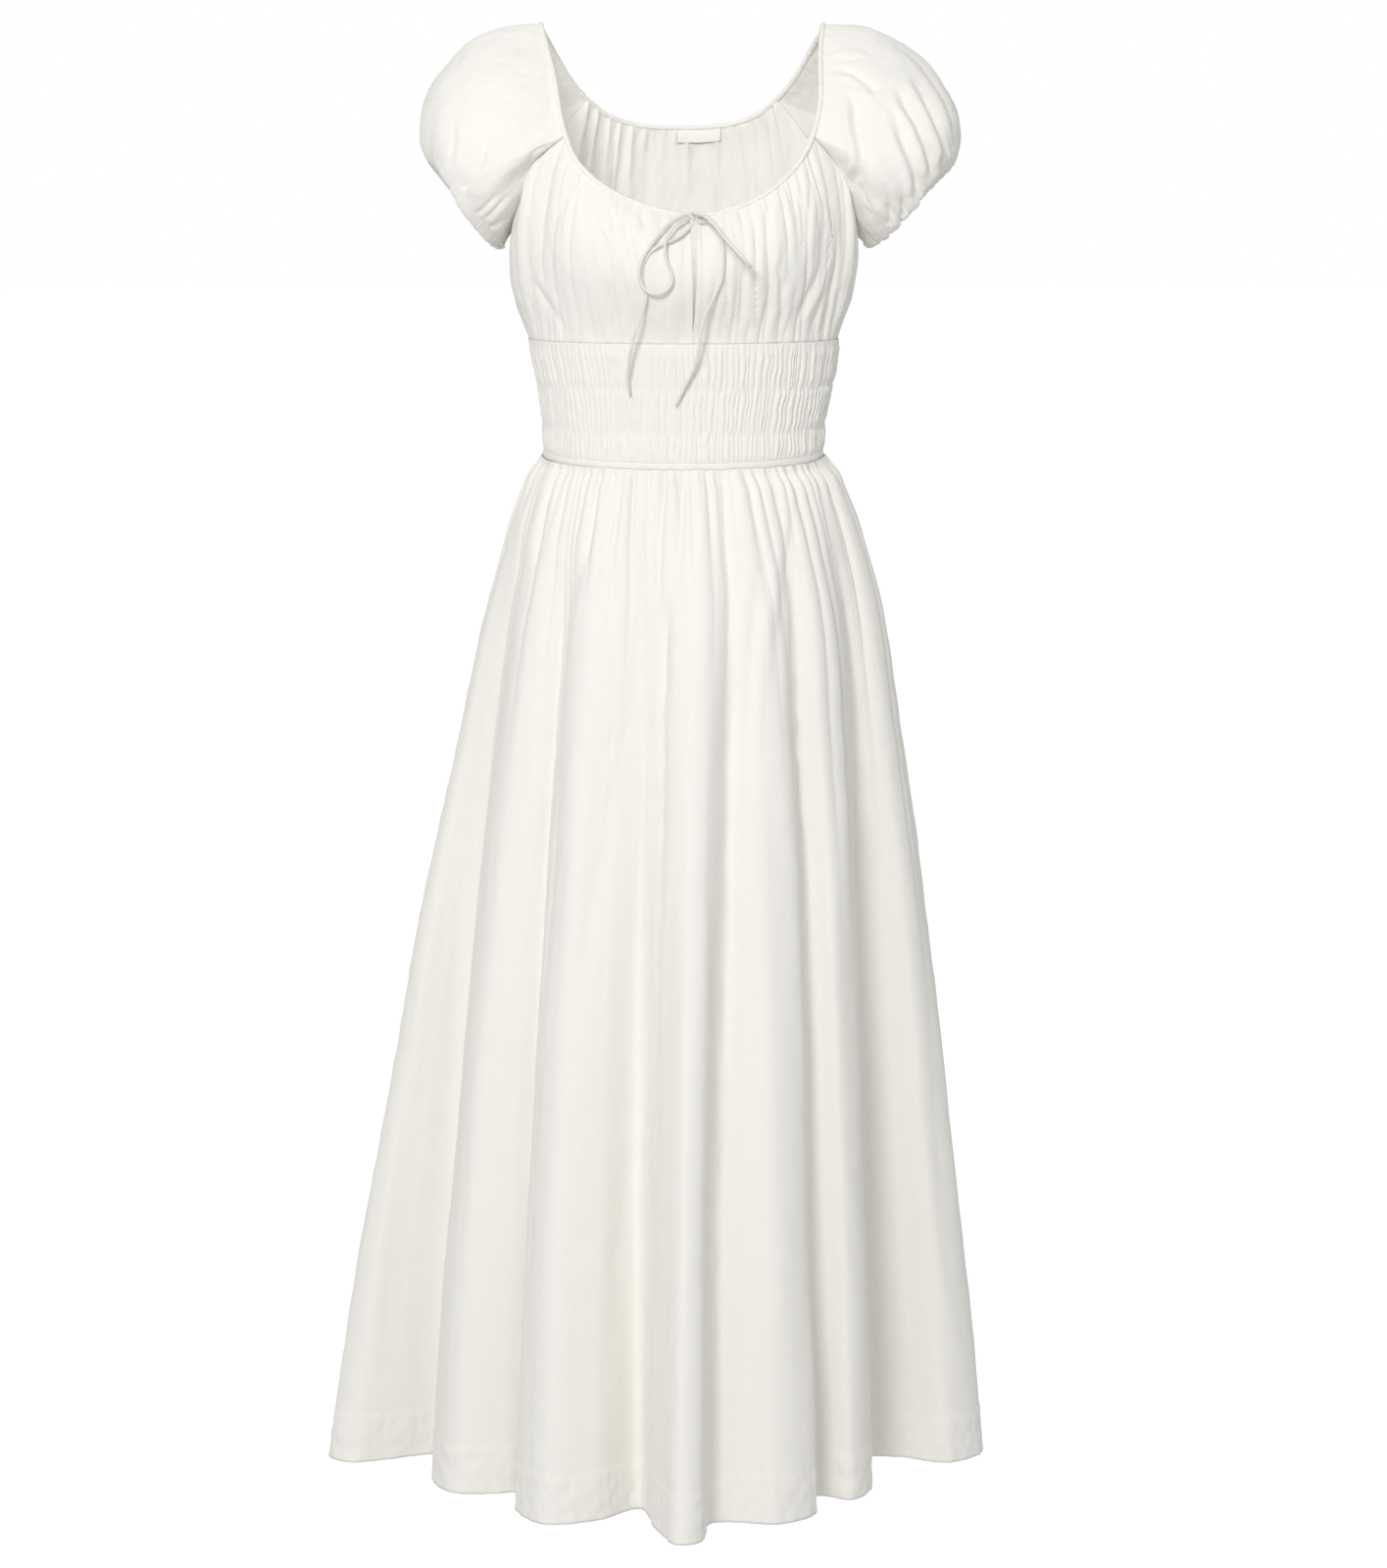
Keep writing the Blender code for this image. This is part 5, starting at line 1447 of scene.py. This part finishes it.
@dataclass
class Bodice:
    """Both fronts and the back, gathered from the neckline to the smocking."""

    neck_front: int = 192  # columns on each side
    neck_back: int = 132
    seam: int = 90
    rows: int = 62
    front_full: float = 0.0215
    back_full: float = 0.0050
    side_full: float = 0.0055
    lift: float = 0.00255  # how far out the gathers' crests lie, at mid height
    edge_lift: float = 0.35  # and at the edges, as a share of that
    rise_within: tuple[float, float] = (0.0035, 0.016)  # how soon it is reached from the neck and from a raglan
    settle_within: float = 0.0050  # and from the smocking
    under_smocking: float = 0.0004
    right_strength: float = 0.6  # of the gathers on the wearer's right
    more_behind: float = 1.5  # how many more gathers the back has than a front
    slit_width: float = 0.0062
    long_gathers: Gathers = Gathers(17, 0.0050, (0.06, 0.26), 41, 0.20)
    lower_gathers: Gathers = Gathers(21, 0.0044, (0.03, 0.15), 43, 0.20)
    neck_gathers: Gathers = Gathers(36, 0.0024, (0.010, 0.038), 42, 0.26)
    front_cut: tuple[float, float] = (0.185, 0.195)
    back_cut: tuple[float, float] = (0.36, 0.215)

    def edges(self) -> tuple[Array, Array, Array]:
        """The upper edge all round.

        Returns:
            Its points, whether each is on the neckline, and the lower edge under it.
        """
        front_right, _, _, back_right = neck_parts(-1)
        front_left, _, _, back_left = neck_parts(1)
        runs = [
            (raglan(-1, False)[::-1], self.seam, False),
            (front_right[::-1], self.neck_front, True),
            (front_left, self.neck_front, True),
            (raglan(1, False), self.seam, False),
            (raglan(1, True)[::-1], self.seam, False),
            (back_left, self.neck_back, True),
            (back_right[::-1], self.neck_back, True),
            (raglan(-1, True), self.seam, False),
        ]
        points, on_neck = along_runs(runs)
        fine = np.linspace(0.0, 1.0, FINE_EDGE)
        front = waist_ring(SMOCKING_TOP, 0.0, fine)
        middle = int(np.argmin(np.abs(front[:, 0] - FRONT_LEAN)))
        half = self.neck_front + self.seam
        behind = 2 * (self.neck_back + self.seam)
        bottom = np.concatenate(
            [
                at_shares(front[: middle + 1], np.arange(half) / half),
                at_shares(front[middle:], np.arange(half) / half),
                at_shares(waist_ring(SMOCKING_TOP, 0.5, fine), np.arange(behind) / behind),
            ]
        )
        return points, on_neck, bottom

    def form(self) -> tuple[Array, Array, Array]:
        """The bodice without its gathers.

        Returns:
            Its points, its normals, and whether each column starts on the neckline.
        """
        start, on_neck, bottom = self.edges()
        way = unit(bottom * (1.0, 1.4, 0.0))
        front = np.clip(-way[:, 1], 0.0, 1.0) ** 1.5
        back = np.clip(way[:, 1], 0.0, 1.0)
        full = self.side_full * (1 - front - back) + self.front_full * front + self.back_full * back
        push = way * full[:, None]
        rows = np.linspace(0.0, 1.0, self.rows)
        grid = hung(start, bottom, lambda t: push * abs(math.sin(math.pi * t**0.8)) ** (1 + 0.6 * t), rows)
        return grid, grid_normals(grid, closed=True), on_neck

    def surface(self) -> Array:
        """The dressed surface all round."""
        grid, out, on_neck = self.form()
        out[-1] = unit(out[-1] * (1.0, 1.0, 0.0))
        grid[-1, :, 2] -= 0.0014 + 0.0004 * ripple(grid[-1], 0.008, 46)
        far = lengths(grid)
        below = far[-1] - far
        half = self.neck_front + self.seam
        behind = 2 * (self.neck_back + self.seam)
        relief = np.zeros(grid.shape[:2])
        spans = ((0, half, 0), (half, half, 1), (2 * half, behind, 2))
        for first, count, which in spans:
            part = slice(first, first + count)
            shares = np.arange(count) / count
            spans = lengths(grid[:, part].swapaxes(0, 1))[-1][:, None]
            for gathers, distance in (
                (self.long_gathers, far),
                (self.neck_gathers, far),
                (self.lower_gathers, below),
            ):
                more = round(gathers.count * (self.more_behind if which == 2 else 1.0))
                own = replace(gathers, count=more, seed=gathers.seed + 7 * which)
                strength = self.right_strength if which == 0 else 1.0
                relief[:, part] += strength * own.relief(shares, distance[:, part], spans)
        down = np.linspace(0.0, 1.0, self.rows)[:, None]
        relief += creased(grid, out, BODICE_CREASES)
        relief += 0.0005 * ripple(grid, 0.030, 44, (1.0, 1.0, 3.0))
        relief += 0.00025 * ripple(grid, 0.010, 45, (1.0, 1.0, 2.5))
        lift = self.lift * (self.edge_lift + (1 - self.edge_lift) * np.sin(math.pi * down))
        rise = 1 - np.exp(-far / np.where(on_neck, *self.rise_within))
        settle = 1 - np.exp(-below / self.settle_within)
        return grid + out * ((lift + relief) * rise * settle - self.under_smocking * (1 - settle))[..., None]

    def build(self, finishes: Finishes) -> None:
        """Makes the three pieces."""
        grid = self.surface()
        down = np.linspace(0.0, 1.0, self.rows)
        half = self.neck_front + self.seam
        columns = grid.shape[1]
        widths = self.slit_width * np.clip(1 - down / 0.93, 0.0, 1.0) ** 0.8 / 2
        for name, first, count, cut in (
            ("bodice_front_right", 0, half, self.front_cut),
            ("bodice_front_left", half, half, self.front_cut),
            ("bodice_back", 2 * half, columns - 2 * half, self.back_cut),
        ):
            picked = np.arange(first, first + count + 1) % columns
            part = grid[:, picked].copy()
            if name != "bodice_back":
                from_slit = np.arange(count + 1) if name.endswith("left") else np.arange(count + 1)[::-1]
                sign = 1.0 if name.endswith("left") else -1.0
                part[:, :, 0] += sign * widths[:, None] * np.exp(-(from_slit / 12.0) ** 2)
                near = np.exp(-((from_slit / 3.5) ** 2)) * (1 - down[:, None] ** 6)
                part[:, :, 1] += 0.0006 * near
            piece = sheet_object(name + "_cloth", part, cut)
            placed(piece, "cotton_cloth", finishes.cloth, name)


# Sleeves

SLEEVE_CREASES = {
    # across and up in millimetres, depth, width, flank, ends
    Side.LEFT: [
        *creases(Face.FRONT, [
            (((122, -28), (139, -29), (153, -29)), 1.6, 2.4, 0.5),
            (((124, -36), (140, -40), (153, -49), (163, -58)), 3.0, 2.6, -0.6, (0.3, 0.12)),
            (((130, -45), (147, -52), (160, -59)), 1.6, 2.2, -0.4),
            (((135, -52), (143, -68), (143, -81), (148, -107), (146, -124), (139, -136)), 4.5, 3.4, -0.9),
            (((174, -69), (180, -91), (188, -111), (192, -123), (195, -140)), 4.0, 3.4, -0.7, (0.35, 0.1)),
            (((176, -50), (185, -68), (195, -86), (203, -107), (206, -126)), 4.0, 3.2, -0.7, (0.3, 0.1)),
            (((190, -44), (201, -62), (210, -81), (217, -101), (217, -119)), 4.0, 3.0, -0.7, (0.3, 0.1)),
            (((176, -16), (197, -31), (211, -50), (221, -70), (226, -92), (224, -108)), 3.0, 3.0, -0.5),
            (((146, -130), (153, -144), (160, -157)), 2.2, 2.4, 0.4),
            (((150, -149), (159, -160)), 1.8, 2.2, 0.4),
            (((168, -128), (173, -153), (172, -165)), 2.6, 2.6, 0.5, (0.4, 0.05)),
            (((180, -128), (184, -150), (183, -158)), 2.4, 2.4, 0.5, (0.4, 0.05)),
        ]),
        *creases(Face.BACK, [
            (((140, -62), (152, -92), (162, -122)), 3.0, 3.6, 0.4),
            (((165, -48), (182, -80), (192, -112)), 3.4, 3.4, -0.5),
            (((186, -34), (204, -66), (212, -98)), 3.2, 3.2, -0.5),
            (((124, -40), (142, -46), (160, -62)), 2.4, 3.0, 0.4),
        ]),
    ],
    Side.RIGHT: [
        *creases(Face.FRONT, [
            (((-157, -84), (-162, -103), (-166, -114), (-175, -128), (-181, -137)),
             3.4, 2.8, 0.5, (0.4, 0.1)),
            (((-188, -78), (-188, -99), (-191, -118)), 2.0, 2.6, 0.4),
            (((-118, -28), (-124, -45), (-135, -52)), 1.8, 2.8, 0.4),
            (((-101, -91), (-110, -98), (-119, -103), (-126, -114), (-130, -132), (-133, -146)),
             3.0, 3.0, 0.5),
            (((-170, -156), (-159, -146), (-153, -138)), 2.6, 2.2, 0.5, (0.05, 0.5)),
            (((-163, -160), (-151, -148), (-143, -138)), 2.8, 2.2, 0.5, (0.05, 0.5)),
            (((-161, -167), (-147, -161), (-139, -155)), 2.4, 2.0, 0.4, (0.05, 0.5)),
            (((-133, -8), (-136, -28)), 1.4, 3.0, 0.3),
            (((-182, -22), (-191, -38)), 1.6, 3.0, 0.3),
            (((-107, -60), (-113, -84)), 1.6, 3.0, 0.3),
            (((-140, -60), (-146, -80)), 1.0, 5.0),
        ]),
        *creases(Face.BACK, [
            (((-138, -60), (-150, -90), (-160, -120)), 3.0, 3.6, -0.4),
            (((-162, -46), (-178, -78), (-188, -110)), 3.0, 3.6, 0.4),
            (((-122, -40), (-140, -48), (-156, -62)), 2.2, 3.0, 0.4),
        ]),
    ],
}


@dataclass
class Sleeve:
    """A short raglan puff sleeve with its gathered cuff."""

    side: Side
    top_full: float
    front_full: float
    cuff_top: tuple[float, float]
    cuff_bottom: tuple[float, float]
    seed: int
    overhang: float  # how far the cloth hangs over the cuff in front and behind
    strength: float  # of its creases
    pleating: float  # of its long pleats
    lowest: float = 0.90  # where on its way down the cloth hangs lowest
    hang_late: float = 7.0
    hang_round: tuple[float, float] = (0.7, 0.3)  # how soon it starts from the top, and its least share
    per_column: int = 12
    neck_front: int = 7
    neck_back: int = 5
    seam: int = 8
    rows: int = 76
    roundness: float = 2.5
    late: float = 0.4  # how much later the front and the back puff out than the top
    ease: float = 0.5  # and how much less steeply
    cuff_front: tuple[float, float, float] = (0.0, -0.0480, 0.0067)
    top_way: tuple[float, float, float] = (0.786, 0.0, 0.618)
    front_way: tuple[float, float, float] = (0.20, -0.97, -0.10)
    cuff_radius: float = 0.0016
    cuff_over: float = 0.010  # how far the gathers puff out over the cuff, as a share of its size
    cuff_past: float = 0.0018  # how far the cloth goes on past the middle of the cuff
    lift: float = 0.0040
    cut: tuple[float, float] = (0.42, 0.16)

    def edge(self) -> tuple[Array, Array]:
        """The upper edge from the shoulder point down its front and up its back, and where it is neckline."""
        _, front, back, _ = neck_parts(self.side.value)
        runs = [
            (front[::-1], self.neck_front, True),
            (raglan(self.side.value, False), self.seam, False),
            (raglan(self.side.value, True)[::-1], self.seam, False),
            (back[::-1], self.neck_back, True),
        ]
        return along_runs([(line, count * self.per_column, flag) for line, count, flag in runs])

    def angles(self) -> Array:
        """The angle round the sleeve of each column, from its top through its front."""
        front = (self.neck_front + self.seam) * self.per_column
        back = (self.neck_back + self.seam) * self.per_column
        first = np.linspace(0.0, math.pi, front, endpoint=False)
        return np.concatenate([first, np.linspace(math.pi, 2 * math.pi, back, endpoint=False)])

    def cuff(self, angle: Array, grown: float = 0.0) -> Array:
        """Points of the cuff at angles, moved outwards by a share of its size."""
        top = np.array((self.cuff_top[0], 0.0, self.cuff_top[1]))
        bottom = np.array((self.cuff_bottom[0], 0.0, self.cuff_bottom[1]))
        upward = (top - bottom) / 2
        flat = np.cos(angle)[:, None] * upward + np.sin(angle)[:, None] * np.array(self.cuff_front)
        return ((top + bottom) / 2 + flat * (1 + grown)) * (self.side.value, 1.0, 1.0)

    def form(self) -> tuple[Array, Array, Array]:
        """The sleeve without its creases: points, normals, and which columns start on the neckline."""
        start, on_neck = self.edge()
        angle = self.angles()
        upward = self.cuff(np.zeros(1))[0] - self.cuff(np.full(1, math.pi))[0]
        outward = self.side.value * unit(np.cross(upward, (0.0, -1.0, 0.0)))
        end = self.cuff(angle, self.cuff_over) + self.cuff_past * outward
        over = np.clip(np.cos(angle), 0.0, 1.0)[:, None] * np.array(self.top_way) * self.top_full
        beside = np.abs(np.sin(angle))[:, None] * np.array(self.front_way) * self.front_full
        beside[:, 1] *= np.sign(np.sin(angle) + 1e-9)
        push = (over + beside) * (self.side.value, 1.0, 1.0)
        rows = np.linspace(0.0, 1.0, self.rows)
        lower = np.clip(1 - np.cos(angle), 0.0, 1.0)
        late, steep = 1 + self.late * lower, self.roundness - self.ease * lower
        soon, least = self.hang_round
        sag = self.overhang * outward * (np.abs(np.sin(angle)) ** soon * np.maximum(lower, least))[:, None]

        def puff(t: float) -> Array:
            """How far the cloth lies from the straight line at a share of the way."""
            hang = min((t / self.lowest) ** self.hang_late, (1 - t) / (1 - self.lowest))
            return push * (1 - abs(2 * t**late - 1) ** steep)[:, None] + sag * hang

        grid = hung(start, end, puff, rows)
        return grid, -self.side.value * grid_normals(grid, closed=True), on_neck

    def surface(self) -> Array:
        """The dressed surface."""
        grid, out, on_neck = self.form()
        angle = self.angles()
        far = lengths(grid)
        below = far[-1] - far
        down = np.linspace(0.0, 1.0, self.rows)[:, None]
        shares = angle / (2 * math.pi)
        cuff_gathers = Gathers(52, 0.0044, (0.012, 0.050), self.seed)
        long_pleats = Gathers(17, 0.0044, (0.045, 0.110), self.seed + 1, 0.18)
        neck_gathers = Gathers(52, 0.0018, (0.008, 0.026), self.seed + 2)
        under = np.clip(-np.cos(angle), 0.0, 1.0)
        spans = lengths(np.concatenate([grid, grid[:, :1]], axis=1).swapaxes(0, 1))[-1][:, None]
        relief = cuff_gathers.relief(shares, below, spans[::-1]) * (1 - 0.5 * under)
        relief += long_pleats.relief(shares, below, spans[::-1]) * self.pleating
        relief += neck_gathers.relief(shares, far, spans) * np.where(on_neck, 1.0, 0.25)
        relief += self.strength * creased(grid, out, SLEEVE_CREASES[self.side])
        relief += 0.0006 * self.strength * ripple(grid, 0.035, self.seed + 3)
        relief += 0.0002 * self.strength * ripple(grid, 0.012, self.seed + 4)
        fade = 0.15 + 0.85 * down**1.6 * (1 - 0.5 * down**8)
        lift = self.lift * fade * (1 - 0.8 * under) * 0.9
        rise = 1 - np.exp(-far / np.where(on_neck, 0.004, 0.010))
        settle = 1 - 0.75 * np.exp(-below / 0.0035)
        return grid + out * ((lift + relief) * rise * settle)[..., None]

    def cuff_binding(self, finishes: Finishes) -> None:
        """Makes the gathered elastic edge of the cuff."""
        angle = np.linspace(0.0, 2 * math.pi, 360, endpoint=False)
        line = self.cuff(angle)
        piece = puckered_tube(
            f"cuff_binding_{self.side.word}_cloth", line, self.cuff_radius, self.seed + 5, True, pucker=0.0042
        )
        placed(piece, "binding_cloth", finishes.binding, f"cuff_binding_{self.side.word}")

    def build(self, finishes: Finishes) -> None:
        """Makes the sleeve and its binding."""
        name = f"sleeve_{self.side.word}"
        piece = sheet_object(
            name + "_cloth", self.surface(), self.cut, wrapped=True, inside_out=self.side is Side.LEFT
        )
        placed(piece, "cotton_cloth", finishes.cloth, name)
        self.cuff_binding(finishes)


# Bindings and label


def puckered_tube(
    name: str, line: Array, radius: float, seed: int, closed: bool, pucker: float = 0.005, swell: float = 0.14
) -> bpy.types.Object:
    """Makes a hollow tube of cloth that is puckered along a line.

    Args:
        name: The piece's name.
        line: Points of its middle.
        radius: Its radius.
        seed: Which unevenness it has.
        closed: Whether the line comes back to its start.
        pucker: About how far apart its puckers are.
        swell: How much it swells and narrows, as a share of its radius.

    Returns:
        The tube.
    """
    if closed:
        ahead = unit(np.roll(line, -1, axis=0) - np.roll(line, 1, axis=0))
    else:
        ahead = unit(np.gradient(line, axis=0))
    outward = line - line.mean(axis=0)
    outward = unit(outward - (outward * ahead).sum(axis=1, keepdims=True) * ahead)
    upward = np.cross(ahead, outward)
    rows = []
    for angle in np.linspace(0.0, 2 * math.pi, 10, endpoint=False):
        around = math.cos(angle) * outward + math.sin(angle) * upward
        rings = ripple(line * 1.0, pucker, seed) * 0.75 + ripple(line + around * 0.004, 0.004, seed + 1) * 0.5
        rows.append(line + around * (radius * (1.0 + swell * rings))[:, None])
    grid = np.stack(rows)
    length = float(lengths(line)[-1])
    return sheet_object(
        name, grid, (length, 2 * math.pi * radius), wrapped=closed, looped=True, inside_out=False, wall=0.0004
    )


@dataclass
class NeckBinding:
    """The narrow puckered casing of the drawstring round the neckline, open at the slit."""

    end: float = 0.0034
    points: int = 620

    def build(self, finishes: Finishes) -> None:
        """Makes the casing."""
        left = np.concatenate([part[:-1] for part in neck_parts(1)] + [neck_parts(1)[-1][-1:]])
        right = np.concatenate([part[:-1] for part in neck_parts(-1)] + [neck_parts(-1)[-1][-1:]])
        line = np.concatenate([left, right[::-1][1:]])
        total = lengths(line)[-1]
        line = at_shares(line, np.linspace(self.end / total, 1.0 - self.end / total, self.points))
        piece = puckered_tube("neck_binding_cloth", line, BINDING_RADIUS, 61, False, pucker=0.0055)
        placed(piece, "binding_cloth", finishes.binding, "neck_binding")


@dataclass
class NeckLabel:
    """The bare label inside the back neck."""

    centre_x: float = 0.0144
    width: float = 0.0370
    height: float = 0.0110
    top: float = 0.0018
    inward: float = 0.0016

    def build(self, finishes: Finishes) -> None:
        """Makes the label and the stitches at its ends."""
        behind = np.concatenate([neck_parts(-1)[3], neck_parts(1)[3][::-1][1:]])
        x = self.centre_x + np.linspace(-0.5, 0.5, 40) * self.width
        y = np.interp(x, behind[:, 0], behind[:, 1]) - self.inward
        z = np.interp(x, behind[:, 0], behind[:, 2]) - self.top
        rows = []
        for share in np.linspace(0.0, 1.0, 14):
            sag = 0.0006 * math.sin(math.pi * share)
            edge = 0.0005 * np.sin(np.linspace(0.0, math.pi, 40)) * share
            rows.append(np.stack([x, y - sag - edge, z - self.height * share], axis=1))
        grid = np.stack(rows)
        cut = (self.width, self.height)
        piece = sheet_object("neck_label_tape", grid, cut, wall=0.0005)
        placed(piece, "label_cloth", finishes.label, "neck_label")
        for column in (2, 37):
            line = grid[1:-1, column]
            ways = np.tile((0.0, -1.0, 0.0), (len(line), 1))
            word = "right" if column == 2 else "left"
            stitch_row_object(
                    f"label_stitches_{word}", line, ways, finishes.thread, 0.0018, (0.0011, 0.0003, 0.00025)
                )


def main() -> None:
    """Builds the studio, the cords and every piece of the dress in order."""
    logging.basicConfig(level=logging.INFO, format="%(name)s: %(message)s")
    bpy.ops.object.select_all(action="DESELECT")
    studio = Studio()
    studio.camera()
    finishes = Finishes()
    Bow().build(finishes)
    studio.floor()
    studio.light()
    Skirt().build(finishes)
    SmockedWaist().build(finishes)
    WaistBand().build(finishes)
    Bodice().build(finishes)
    for sleeve in (
        Sleeve(Side.RIGHT, 0.0385, 0.0250, (0.2120, -0.1125), (0.1510, -0.1850), 71, 0.0110, 0.85, 0.15),
        Sleeve(Side.LEFT, 0.0395, 0.0280, (0.2275, -0.1150), (0.1545, -0.1830), 81, 0.0110, 1.0, 0.8),
    ):
        sleeve.build(finishes)
    NeckBinding().build(finishes)
    NeckLabel().build(finishes)
    boxes = {"cad": cad_box, "visual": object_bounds()}
    for name, (low, high) in boxes.items():
        LOG.info("%s box: %s to %s", name, [round(v, 4) for v in low], [round(v, 4) for v in high])


if __name__ == "__main__":
    main()
